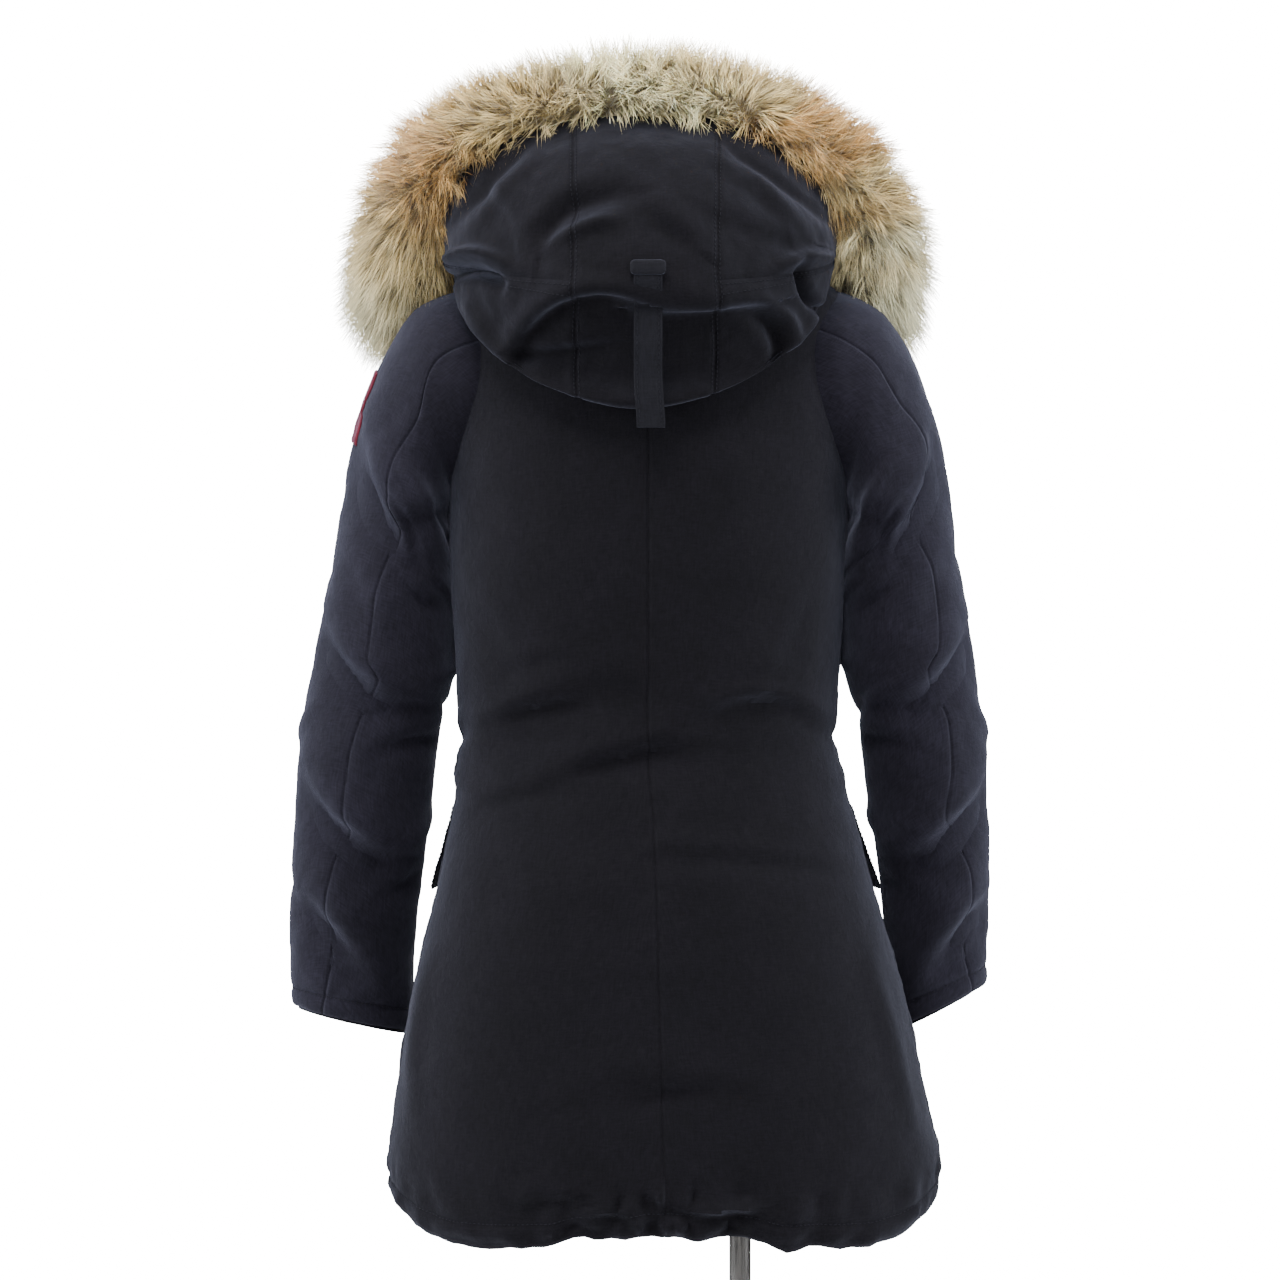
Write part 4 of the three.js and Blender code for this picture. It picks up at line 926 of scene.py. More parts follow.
def new_group(kind, name, inputs, outputs):
    """A node group with named inputs and outputs: its shader, its inputs' sockets and its output node."""
    group = bpy.data.node_groups.new(name, kind)
    for label, sort, default in inputs:
        socket = group.interface.new_socket(label, in_out="INPUT", socket_type="NodeSocket" + sort)
        if default is not None:
            socket.default_value = default
    for label, sort in outputs:
        group.interface.new_socket(label, in_out="OUTPUT", socket_type="NodeSocket" + sort)
    s = Shader(group)
    return group, s, s.add("NodeGroupInput").outputs, s.add("NodeGroupOutput")


@built_once("node_groups")
def weave_group(name):
    """Crossed threads: a height, a mask of painted shade in the gaps between them, and uneven yarn."""
    group, s, given, put = new_group(
        "ShaderNodeTree",
        name,
        [("Vector", "Vector", None), ("Threads", "Float", 1400.0), ("Slub", "Float", 0.4)],
        [("Height", "Float"), ("Gaps", "Float"), ("Yarn", "Float")],
    )
    axes = s.add("ShaderNodeSeparateXYZ", {0: given["Vector"]}).outputs
    turns = s.maths("MULTIPLY", given["Threads"], 6.283)
    ways = [s.maths("ABSOLUTE", s.maths("SINE", s.maths("MULTIPLY", axes[k], turns))) for k in (0, 1)]
    threads = s.maths("ADD", *ways)
    uneven = s.maths("MULTIPLY", s.cloudy(given["Vector"], 900, 3), given["Slub"])
    yarns = []
    for stretch in ((620, 70, 1), (90, 700, 1)):
        run = s.add("ShaderNodeMapping", {"Scale": stretch, "Vector": given["Vector"]})
        yarns.append(s.cloudy(run.outputs["Vector"], 1.0, 3))
    found = {
        "Height": s.maths("ADD", threads, uneven),
        "Gaps": s.span(threads, 0.2, 1.2, 1.0, 0.0),
        "Yarn": s.span(s.maths("ADD", *yarns), 0.7, 1.3),
    }
    s.feed(put, found)
    return group


@built_once("node_groups")
def mottle_group(name):
    """Broad unevenness of a surface, and a height of soft wrinkles."""
    group, s, given, put = new_group(
        "ShaderNodeTree",
        name,
        [("Vector", "Vector", None), ("Size", "Float", 18.0)],
        [("Broad", "Float"), ("Wrinkles", "Float")],
    )
    small = s.maths("MULTIPLY", given["Size"], 6.0)
    broad = s.cloudy(given["Vector"], given["Size"], 4)
    s.feed(put, {"Broad": broad, "Wrinkles": s.cloudy(given["Vector"], small, 5, 0.6)})
    return group


def new_material(name):
    """A material, its shader, its surface, and the places that its patterns may read."""
    material = bpy.data.materials.new(name)
    material.use_nodes = True
    s = Shader(material.node_tree)
    surface = material.node_tree.nodes["Principled BSDF"]
    return material, s, surface, s.add("ShaderNodeTexCoord").outputs


def rgba(colour, times=1.0):
    return (*(min(c * times, 1.0) for c in colour[:3]), 1.0)


@built_once("materials")
def woven(name, row, colour):
    """Woven cloth: threads, soft wrinkles, and colour that is a little uneven, with a painted highlight on
    the wrinkles' crests and painted shade between the threads.
    """
    material, s, cloth, places = new_material(name)
    given = {"Vector": places[row.places], "Threads": row.threads}
    weave = s.add("ShaderNodeGroup", given, node_tree=weave_group("woven threads")).outputs
    given = {"Vector": places["Object"]}
    mottle = s.add("ShaderNodeGroup", given, node_tree=mottle_group("soft unevenness")).outputs
    broad = s.blend(s.span(mottle["Broad"], 0.3, 0.7), rgba(colour, 0.8), rgba(colour, 1.22))
    # Painted highlight: lighter colour on the crests of the soft wrinkles that the bump below raises.
    crest_highlight = s.blend(s.span(mottle["Wrinkles"], 0.5, 0.75, 0.0, 0.35), broad, rgba(colour, 1.5))
    grain = s.blend(s.span(weave["Yarn"], 0.0, 1.0), (0.6, 0.6, 0.6, 1), (1.42, 1.42, 1.42, 1))
    yarned = s.blend(1.0, crest_highlight, grain, "MULTIPLY")
    rough = row.rough - 0.05, row.rough + 0.05
    finish = {
        # Painted shade: the colour darkens in the gaps between the threads.
        "Base Color": s.blend(s.maths("MULTIPLY", weave["Gaps"], 0.5), yarned, rgba(colour, 0.45)),
        "Roughness": s.span(mottle["Wrinkles"], 0.2, 0.8, *rough),
        "Normal": s.relief(mottle["Wrinkles"], 0.5, row.wrinkle, s.relief(weave["Height"], 0.35, row.relief)),
        "Sheen Weight": row.sheen,
        "Sheen Roughness": 0.45,
        "Sheen Tint": (0.7, 0.74, 1.0, 1.0),
        "Specular IOR Level": 0.05,
    }
    s.feed(cloth, finish)
    return material


def cloth_material(kind):
    row = next(row for row in CLOTHS if row.kind == kind)
    group = settings().stand if kind == "jersey" else settings().cloth
    return woven(row.name, row, getattr(group, kind))


@built_once("materials")
def thread_material(name):
    material, s, thread, places = new_material(name)
    given = {"Vector": places["Object"], "Scale": 900}
    # Painted light and shade of the thread's twist, in diagonal bands over the thread's dye.
    twist_shading = s.add("ShaderNodeTexWave", given, wave_type="BANDS", bands_direction="DIAGONAL").outputs["Fac"]
    colour = settings().sewing.colour
    dyed = s.blend(twist_shading, rgba(colour, 0.75), rgba(colour, 1.3))
    s.feed(thread, {"Base Color": dyed, "Roughness": 0.6, "Specular IOR Level": 0.06})
    return material


@built_once("materials")
def metal_material(name, colour, roughness, brushed):
    """Satin metal with fine grain, stretched the way that it is brushed."""
    material, s, metal, places = new_material(name)
    stretch = s.add("ShaderNodeMapping", {"Scale": brushed, "Vector": places["Object"]})
    grain = s.cloudy(stretch.outputs["Vector"], 420, 6)
    finish = {
        "Base Color": s.blend(grain, rgba(colour, 0.85), rgba(colour, 1.1)),
        "Roughness": s.span(grain, 0.3, 0.7, roughness - 0.07, roughness + 0.08),
        "Metallic": 1.0,
        "Normal": s.relief(grain, 0.08, 0.0002),
    }
    s.feed(metal, finish)
    return material


def steel_material():
    return metal_material("satin nickel", settings().stand.steel, 0.2, (1, 1, 0.06))


def hardware_material():
    return metal_material("zip metal", settings().fastener.metal, 0.36, (6, 6, 1))


def teeth_material():
    return plain_material("moulded teeth", settings().fastener.teeth, 0.4)


@built_once("materials")
def fur_material(name):
    """Hair: dark and dense at its root, its own colour along it, and a dark end on some."""
    material, s, hair, _ = new_material(name)
    names = ("hue", "along", "tip")
    hue, along, tip = (s.add("ShaderNodeAttribute", attribute_name=name).outputs for name in names)
    fur = settings().fur
    root = s.blend(s.span(along["Fac"], 0.0, 0.3), rgba(fur.underfur), hue["Color"])
    ended = s.maths("MULTIPLY", tip["Fac"], s.span(along["Fac"], 0.6, 0.85))
    finish = {
        "Base Color": s.blend(ended, root, rgba(fur.guard)),
        "Roughness": 0.5,
        "Specular IOR Level": 0.35,
        "Sheen Weight": 0.2,
        "Sheen Roughness": 0.4,
    }
    s.feed(hair, finish)
    return material


@built_once("materials")
def underfur_material(name):
    """The dense soft hair below the long hair."""
    material, s, fur, places = new_material(name)
    hair = s.cloudy(places["Object"], 420, 5, 1.5)
    hue = s.add("ShaderNodeAttribute", attribute_name="hue").outputs["Color"]
    dark = s.blend(1.0, hue, (0.3, 0.28, 0.26, 1), "MULTIPLY")
    dyed = s.blend(s.span(hair, 0.35, 0.65), dark, hue)
    s.feed(fur, {"Base Color": dyed, "Roughness": 0.85, "Normal": s.relief(hair, 0.9, 0.003)})
    return material


@built_once("materials")
def plain_material(name, colour, roughness):
    material, s, plain, places = new_material(name)
    given = {"Vector": places["Object"]}
    mottle = s.add("ShaderNodeGroup", given, node_tree=mottle_group("soft unevenness")).outputs
    dyed = s.blend(mottle["Broad"], rgba(colour, 0.97), rgba(colour, 1.03))
    s.feed(plain, {"Base Color": dyed, "Roughness": roughness})
    return material


# Geometry Nodes


def new_tree(name, *inputs):
    """A Geometry Nodes tree that takes a geometry and named inputs, and gives a geometry."""
    shape = ("Geometry", "Geometry")
    return new_group("GeometryNodeTree", name, [(*shape, None), *inputs], [shape])


def evenly_spaced(s, given):
    """Points along the edges of the tree's mesh, one pitch apart."""
    lines = s.add("GeometryNodeMeshToCurve", {"Mesh": given["Geometry"]}).outputs["Curve"]
    even = {"Curve": lines, "Length": given["Pitch"]}
    return s.add("GeometryNodeResampleCurve", even, mode="LENGTH").outputs["Curve"]


def repeated(s, points, instance, scale, rotation=None):
    """A shape on each point, made real."""
    inputs = {"Points": points, "Instance": instance, "Scale": scale}
    if rotation:
        inputs["Rotation"] = rotation
    place = s.add("GeometryNodeInstanceOnPoints", inputs)
    real = s.add("GeometryNodeRealizeInstances", {"Geometry": place.outputs["Instances"]})
    return real.outputs["Geometry"]


def painted(s, put, geometry, material):
    """Ends a tree with its geometry in a material."""
    paint = s.add("GeometryNodeSetMaterial", {"Geometry": geometry, "Material": material})
    s.feed(put, {"Geometry": paint.outputs["Geometry"]})


@built_once("node_groups")
def stitch_tree(name):
    """Stitches along the edges of a mesh: each a small rounded bar that lies along its line."""
    tree, s, given, put = new_tree(
        name,
        ("Pitch", "Float", 0.004),
        ("Length", "Float", 0.003),
        ("Thickness", "Float", 0.0006),
        ("Thread", "Material", None),
    )
    ball = s.add("GeometryNodeMeshUVSphere", {"Segments": 6, "Rings": 4, "Radius": 0.5})
    tangent = s.add("GeometryNodeInputTangent").outputs[0]
    turn = s.add("FunctionNodeAlignRotationToVector", {"Vector": tangent}, axis="Z").outputs["Rotation"]
    thick = given["Thickness"]
    size = s.add("ShaderNodeCombineXYZ", {0: thick, 1: thick, 2: given["Length"]}).outputs[0]
    bars = repeated(s, evenly_spaced(s, given), ball.outputs["Mesh"], size, turn)
    painted(s, put, bars, given["Thread"])
    return tree


@built_once("node_groups")
def teeth_tree(name):
    """Moulded teeth along the edges of a mesh, each a small block across its line."""
    tree, s, given, put = new_tree(
        name,
        ("Pitch", "Float", 0.003),
        ("Size", "Vector", (0.0026, 0.0018, 0.0016)),
        ("Moulding", "Material", None),
    )
    block = s.add("GeometryNodeMeshCube", {"Size": (1, 1, 1)}).outputs["Mesh"]
    teeth = repeated(s, evenly_spaced(s, given), block, given["Size"])
    painted(s, put, teeth, given["Moulding"])
    return tree


@built_once("node_groups")
def fur_tree(name):
    """A closed tapered hair on each point, along its own aim, bent by its own curl."""
    tree, s, given, put = new_tree(
        name,
        ("Width", "Float", 0.0008),
        ("Uneven", "Float", 0.3),
        ("Seed", "Int", 7),
        ("Hair", "Material", None),
    )

    def stored(name, kind):
        node = s.add("GeometryNodeInputNamedAttribute", {"Name": name}, data_type=kind)
        return node.outputs["Attribute"]

    cone = s.add(
        "GeometryNodeMeshCone",
        {"Vertices": 3, "Side Segments": 2, "Radius Top": 0.0, "Radius Bottom": 0.5, "Depth": 1.0},
        fill_type="NGON",
    )
    place = s.add("GeometryNodeInputPosition").outputs[0]
    height = s.add("ShaderNodeSeparateXYZ", {0: place}).outputs[2]
    hair = s.add(
        "GeometryNodeStoreNamedAttribute",
        {"Name": "along", "Geometry": cone.outputs["Mesh"], "Value": height},
        data_type="FLOAT",
        domain="POINT",
    )
    aim = stored("aim", "FLOAT_VECTOR")
    turn = s.add("FunctionNodeAlignRotationToVector", {"Vector": aim}, axis="Z").outputs["Rotation"]
    long = s.add("ShaderNodeVectorMath", {0: aim}, operation="LENGTH").outputs["Value"]
    vary = s.add("FunctionNodeRandomValue", {"Seed": given["Seed"]}, data_type="FLOAT")
    low, high = [k for k, socket in enumerate(vary.inputs) if socket.type == "VALUE"][:2]
    less = s.maths("SUBTRACT", 1.0, given["Uneven"])
    s.feed(vary, {low: less, high: s.maths("ADD", 1.0, given["Uneven"])})
    uneven = [socket for socket in vary.outputs if socket.type == "VALUE"][0]
    width = s.maths("MULTIPLY", given["Width"], uneven)
    size = s.add("ShaderNodeCombineXYZ", {0: width, 1: width, 2: long}).outputs[0]
    hairs = repeated(s, given["Geometry"], hair.outputs["Geometry"], size, turn)
    share = s.maths("POWER", stored("along", "FLOAT"), 2.0)
    curl = {0: stored("curl", "FLOAT_VECTOR"), "Scale": share}
    bent = s.add("ShaderNodeVectorMath", curl, operation="SCALE").outputs["Vector"]
    move = s.add("GeometryNodeSetPosition", {"Geometry": hairs, "Offset": bent})
    painted(s, put, move.outputs["Geometry"], given["Hair"])
    return tree


def grown(name, source, tree, smooth=False, **values):
    """The plain mesh that a tree makes of a source object, which is then removed."""
    modifier = source.modifiers.new(tree.name, "NODES")
    modifier.node_group = tree
    for item in tree.interface.items_tree:
        if item.in_out == "INPUT" and item.name in values:
            modifier[item.identifier] = values[item.name]
    depsgraph = bpy.context.evaluated_depsgraph_get()
    mesh = bpy.data.meshes.new_from_object(source.evaluated_get(depsgraph))
    source.modifiers.remove(modifier)
    old = source.data
    bpy.data.objects.remove(source)
    bpy.data.meshes.remove(old)
    mesh.polygons.foreach_set("use_smooth", np.full(len(mesh.polygons), smooth))
    return link(name, mesh)


def lines_object(name, lines):
    """An object of open lines of points in millimetres."""
    points = np.concatenate(lines) * MM
    edges, first = [], 0
    for line in lines:
        edges += [(k, k + 1) for k in range(first, first + len(line) - 1)]
        first += len(line)
    mesh = bpy.data.meshes.new(name)
    mesh.from_pydata(points.tolist(), edges, [])
    return link(name, mesh)


def sewn(name, lines):
    """Stitches along lines of points in millimetres."""
    sewing, thread = settings().sewing, thread_material("sewing thread")
    obj = grown(
        name,
        lines_object(name + "_lines", lines),
        stitch_tree("stitches along seams"),
        smooth=True,
        Pitch=sewing.pitch,
        Length=sewing.length,
        Thickness=sewing.thickness,
        Thread=thread,
    )
    finish_part(obj, thread, "shell")


# Settings


def number(name, description, default, **kind):
    return bpy.props.FloatProperty(name=name, description=description, default=default, min=0, **kind)


def length(name, description, default):
    return number(name, description, default, unit="LENGTH", precision=4)


def power(name, description, default):
    return number(name, description, default, subtype="POWER")


def whole(name, description, default, least=0):
    return bpy.props.IntProperty(name=name, description=description, default=default, min=least)


def colour(name, description, default):
    return bpy.props.FloatVectorProperty(
        name=name, description=description, default=default, size=3, min=0, max=1, subtype="COLOR"
    )


class ParkaCloth(bpy.types.PropertyGroup):
    """Cloth of the coat"""

    body_wall: length("Body thickness", "Thickness of the body's padded cloth", 0.008)
    sleeve_wall: length("Sleeve thickness", "Thickness of the sleeves' padded cloth", 0.006)
    hood_wall: length("Hood thickness", "Thickness of the hood's cloth", 0.003)
    collar_wall: length("Collar thickness", "Thickness of the collar", 0.005)
    flap_wall: length("Flap thickness", "Thickness of the pocket flaps", 0.003)
    tape_wall: length("Tape thickness", "Thickness of tape, facings and the badge", 0.002)
    seam_depth: length("Seam depth", "How deep a seam sinks into the padding", 0.0024)
    crumple: length("Crumple", "Height of the cloth's soft unevenness", 0.0014)
    crease: number("Creases", "How strong the creases are", 1.6)
    shell: colour("Shell colour", "Colour of the outer cloth", (0.0018, 0.00152, 0.0022))
    # Painted light: the sleeves' colour is the shell's cloth made lighter and bluer for the light that falls
    # on them.
    sleeve: colour("Sleeve colour", "Colour of the sleeves' cloth, a little faded", (0.0052, 0.0047, 0.0076))
    tape: colour("Tape colour", "Colour of the strap and facings", (0.0028, 0.0027, 0.0038))
    badge: colour("Badge colour", "Colour of the plain badge", (0.05, 0.005, 0.010))


class ParkaSewing(bpy.types.PropertyGroup):
    """Stitches of the coat"""

    pitch: length("Pitch", "Distance from stitch to stitch", 0.0042)
    length: length("Stitch length", "Length of one stitch", 0.0031)
    thickness: length("Thread thickness", "Thickness of the thread", 0.0008)
    colour: colour("Thread colour", "Colour of the thread", (0.004, 0.004, 0.006))


class ParkaFastener(bpy.types.PropertyGroup):
    """Zip of the coat"""

    pitch: length("Tooth pitch", "Distance from tooth to tooth on one side", 0.0034)
    teeth: colour("Tooth colour", "Colour of the moulded teeth", (0.009, 0.009, 0.012))
    metal: colour("Metal colour", "Colour of the slider and pull", (0.3, 0.29, 0.28))


class ParkaFur(bpy.types.PropertyGroup):
    """Fur of the ruff"""

    hairs: whole("Hairs", "How many hairs the ruff has", 51500, 100)
    tufts: whole("Tufts", "How many tufts the hairs lean to", 2600, 10)
    seed: whole("Seed", "Fixes the hairs' places", 4)
    length: length("Hair length", "Usual length of a hair", 0.038)
    width: length("Hair width", "Width of a lock of hair at its root", 0.0008)
    depth: length("Fur depth", "How far the long hair stands out over the underfur", 0.019)
    cream: colour("Cream", "Palest hair, at the top", (1.0, 0.85, 0.48))
    tan: colour("Tan", "Usual hair", (0.6, 0.43, 0.16))
    rust: colour("Rust", "Warm patches at the shoulders of the ruff", (0.5, 0.25, 0.055))
    grey: colour("Grey", "Cool hair at the sides", (0.56, 0.54, 0.36))
    underfur: colour("Underfur", "Hair at its root", (0.36, 0.27, 0.17))
    guard: colour("Guard hair", "Dark ends of the longest hair", (0.02, 0.015, 0.012))


class ParkaStand(bpy.types.PropertyGroup):
    """Dress form and its stand"""

    pole_radius: length("Pole radius", "Radius of the pole", 0.010)
    base_radius: length("Base radius", "Radius of the round base plate", 0.189)
    base_thickness: length("Base thickness", "Thickness of the base plate", 0.008)
    steel: colour("Steel colour", "Colour of the stand", (0.11, 0.105, 0.1))
    jersey: colour("Jersey colour", "Colour of the form's cover", (0.74, 0.7, 0.63))


class ParkaStage(bpy.types.PropertyGroup):
    """Floor, light and camera"""

    floor_radius: length("Floor radius", "Radius of the round floor", 2.6)
    floor: colour("Floor colour", "Colour of the plain floor", (0.86, 0.86, 0.86))
    sky: number("Sky", "Strength of the light from all round", 0.12)
    side: power("Side", "Power of each side light", 320)
    top: power("Top", "Power of the light above", 260)
    fill: power("Fill", "Power of each fill light", 66)


class ParkaSettings(bpy.types.PropertyGroup):
    """Sizes and colours of the whole piece"""

    cloth: bpy.props.PointerProperty(type=ParkaCloth)
    sewing: bpy.props.PointerProperty(type=ParkaSewing)
    fastener: bpy.props.PointerProperty(type=ParkaFastener)
    fur: bpy.props.PointerProperty(type=ParkaFur)
    stand: bpy.props.PointerProperty(type=ParkaStand)
    stage: bpy.props.PointerProperty(type=ParkaStage)


def settings():
    return bpy.context.scene.parka


# Operators


class PARKA_OT_body(bpy.types.Operator):
    """Make the two fronts and the two backs of the body"""

    bl_idname = "parka.body"
    bl_label = "Body"

    def execute(self, context):
        wall = settings().cloth.body_wall / MM
        levels = np.concatenate([
            HEM_LEVEL + np.array([0, 1.2, 2.8, 5, 8, 12, 16, 19, 21.5, 24, 27, 31, 36, 42, 49, 57]),
            np.linspace(664, 1430, 128),
            np.linspace(1435, NECK_LEVEL, 15),
        ])
        panels = {
            "front_left": (zip_edge, lambda z: SIDE_SEAM),
            "back_left": (lambda z: SIDE_SEAM, lambda z: BACK_SEAM),
            "back_right": (lambda z: BACK_SEAM, lambda z: 360 - SIDE_SEAM),
            "front_right": (lambda z: 360 - SIDE_SEAM, lambda z: 360 - zip_edge(z)),
        }
        holes = {word: self.hole(word) for word in SIDES}
        for name, (start, stop) in panels.items():
            share = crowded(0, 1, 56, 0.88)
            level = np.repeat(levels[:, None], len(share), axis=1)
            low, high = start(level), stop(level)
            angle = mix(low - 0.02, high + 0.02, share[None, :])
            outer = body_face(angle, level)
            up = level - HEM_LEVEL
            inner = body_face(angle, level, -wall + 2.5 * np.exp(-up / 3.2), smooth=True)
            keep = self.kept(outer, holes["left" if name.endswith("left") else "right"])
            piece = cloth_wall(name + "_cloth", outer, inner, keep)
            grid = body_form(angle, level)
            finish_sheet(piece, grid, "shell", "shell", name, "hung", "dress_form")
        return {"FINISHED"}

    def hole(self, word):
        """The outline of the opening for an arm, seen from the side, a little inside the sleeve."""
        angle = np.linspace(0, 360, 72, endpoint=False)
        points = sleeve_form(word)(angle, armhole(word, angle))
        yz = points[:, 1:]
        middle = yz.mean(axis=0)
        away = unit(yz - middle)
        return SIDES[word], middle, yz - away * 14

    def kept(self, grid, hole):
        side, middle, outline = hole
        cells = (grid[:-1, :-1] + grid[1:, 1:] + grid[1:, :-1] + grid[:-1, 1:]) / 4
        off = cells[..., 1:] - middle
        turn = np.arctan2(off[..., 1], off[..., 0])
        edge = outline - middle
        edge_turn = np.arctan2(edge[:, 1], edge[:, 0])
        order = np.argsort(edge_turn)
        reach = np.interp(turn, edge_turn[order], np.linalg.norm(edge, axis=1)[order], period=2 * math.pi)
        within = np.linalg.norm(off, axis=-1) < reach
        return ~(within & (side * (cells[..., 0] - SLEEVE_SHIFT) > 120))


class PARKA_OT_sleeves(bpy.types.Operator):
    """Make the outer and inner panel of each sleeve"""

    bl_idname = "parka.sleeves"
    bl_label = "Sleeves"

    def execute(self, context):
        wall = settings().cloth.sleeve_wall / MM
        run = np.concatenate([np.linspace(0, 0.93, 118), 1 - np.array(CUFF_STEPS)])
        for word in SIDES:
            def seam(at, word=word):
                return sleeve_back_seam(word, at)

            panels = {
                "outer": (lambda at: SLEEVE_FRONT_SEAM - 360, seam, 50),
                "inner": (seam, lambda at: SLEEVE_FRONT_SEAM, 40),
            }
            for part, (start, stop, steps) in panels.items():
                share = crowded(0, 1, steps, 0.88)
                top = mix(start(0.1), stop(0.1), share)
                first = armhole(word, top)
                at = mix(first[None, :], 1, run[:, None])
                angle = mix(start(at) - 0.06, stop(at) + 0.06, share[None, :])
                outer = sleeve_face(word, angle, at)
                up = (1 - at) * SLEEVE_LENGTH
                inner = sleeve_face(word, angle, at, -wall + 2 * np.exp(-up / 2.6), smooth=True)
                name = f"sleeve_{word}_{part}"
                piece = cloth_wall(name + "_cloth", outer, inner)
                grid = sleeve_form(word)(mix(np.mean(start(at)), np.mean(stop(at)), share[None, :]), at)
                carried = [f"front_{word}", f"back_{word}"]
                # The sleeve cloth's colour holds painted light, lighter and bluer than the body's.
                finish_sheet(piece, grid, "sleeve", "shell", name, "hung", *carried)
        return {"FINISHED"}


class PARKA_OT_cuffs(bpy.types.Operator):
    """Make the facing that shows below each sleeve's edge"""

    bl_idname = "parka.cuffs"
    bl_label = "Cuffs"

    def execute(self, context):
        cloth = settings().cloth
        turn = np.linspace(0, 360, 96, endpoint=False)
        inset = (cloth.sleeve_wall / MM) + GAP + 0.4
        for word in SIDES:
            rows = [(at, 0) for at in (CUFF_FACING.up, 0.975, 0.992, 1)]
            rows += [(1, drop) for drop in (1.5, 3, CUFF_FACING.below)]
            outer, inner = [], []
            for at, drop in rows:
                ruffle = 0.5 * waves(sleeve_form(word)(turn, at), 14, 31, 2)
                down = stacked(0, 0, np.full(len(turn), -float(drop)))
                thick = cloth.tape_wall / MM * (1 if drop < 3 else 0.7)
                outer.append(sleeve_face(word, turn, at, -inset + ruffle, smooth=True) + down)
                inner.append(sleeve_face(word, turn, at, -inset - thick + ruffle, smooth=True) + down)
            piece = cloth_wall(f"cuff_facing_{word}_tape", np.array(outer), np.array(inner), closed=True)
            name, sleeve = f"cuff_facing_{word}", f"sleeve_{word}_outer"
            finish_sheet(piece, np.array(outer), "tape", "tape", name, "folded", sleeve)
        return {"FINISHED"}


class PARKA_OT_collar(bpy.types.Operator):
    """Make the stand-up collar under the hood"""

    bl_idname = "parka.collar"
    bl_label = "Collar"

    def execute(self, context):
        wall = settings().cloth.collar_wall / MM
        edge = float(zip_edge(NECK_LEVEL))
        angle, share = np.meshgrid(crowded(edge, 360 - edge, 120, 0.5), crowded(0, 1, 18))
        ends = np.minimum(angle - edge, 360 - edge - angle) * 1.2
        rounding = 1.8 * np.exp(-(1 - share) * COLLAR.height / 2.2) + 1.6 * np.exp(-ends / 2)
        points = collar_face(angle, share)
        below = (1 - share) * COLLAR.height
        puff = 0.8 * waves(points, 30, 41, 2) - 0.8 * bump(below - COLLAR_LINE, 2)
        outer = collar_face(angle, share, puff - rounding)
        inner = collar_face(angle, share, rounding - wall)
        piece = cloth_wall("collar_cloth", outer, inner)
        finish_sheet(piece, points, "shell", "shell", "collar", "folded", "dress_form")
        return {"FINISHED"}


class PARKA_OT_zip(bpy.types.Operator):
    """Make the zip's tape, teeth, slider and pull"""

    bl_idname = "parka.zip"
    bl_label = "Zip"

    def execute(self, context):
        fastener = settings().fastener
        levels = np.linspace(ZIP.bottom, NECK_LEVEL, 140)
        half = ZIP.half + ZIP.tucked

        def row_points(across, back):
            front = body_form(front_angle(across, levels), levels)
            up = collar_face(front_angle(across, NECK_LEVEL), np.linspace(0.08, 1, 10))
            return np.concatenate([front, up]) + [0, back, 0]

        across = np.linspace(-half, half, 5)
        outer = np.stack([row_points(x if x else 1e-6, ZIP.back) for x in across], axis=1)
        inner = np.stack([row_points(x if x else 1e-6, ZIP.back + ZIP.thick) for x in across], axis=1)
        piece = cloth_wall("zip_tape", outer, inner)
        finish_sheet(piece, outer, "tape", "zip", "zip", "hung", "front_left", "front_right")
        lines = [row_points(x, ZIP.back - 0.3) for x in (-1.1, 1.1)]
        lines[1] = lines[1] + [0, 0, fastener.pitch / MM / 2]
        teeth = grown(
            "zip_teeth",
            lines_object("zip_lines", lines),
            teeth_tree("zip teeth"),
            Pitch=fastener.pitch,
            Moulding=teeth_material(),
        )
        finish_part(teeth, teeth_material(), "zip")
        self.slider()
        return {"FINISHED"}

    def slider(self):
        """The slider's body, a plate narrower at its middle, and the pull that hangs from it."""
        body = plate("zip_slider_body", "zip_slider", 1.1, waist=0.22)
        finish_part(body, hardware_material(), "hardware", "zip_slider")
        pull = plate("zip_pull_tab", "zip_pull", 0.5, waist=0.28, hole=0.2)
        finish_part(pull, hardware_material(), "hardware", "zip_pull")


def box_of(node):
    """The middle and the half size of a solid's box in millimetres."""
    low, high = (np.array(corner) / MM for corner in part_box(node))
    return (low + high) / 2, (high - low) / 2


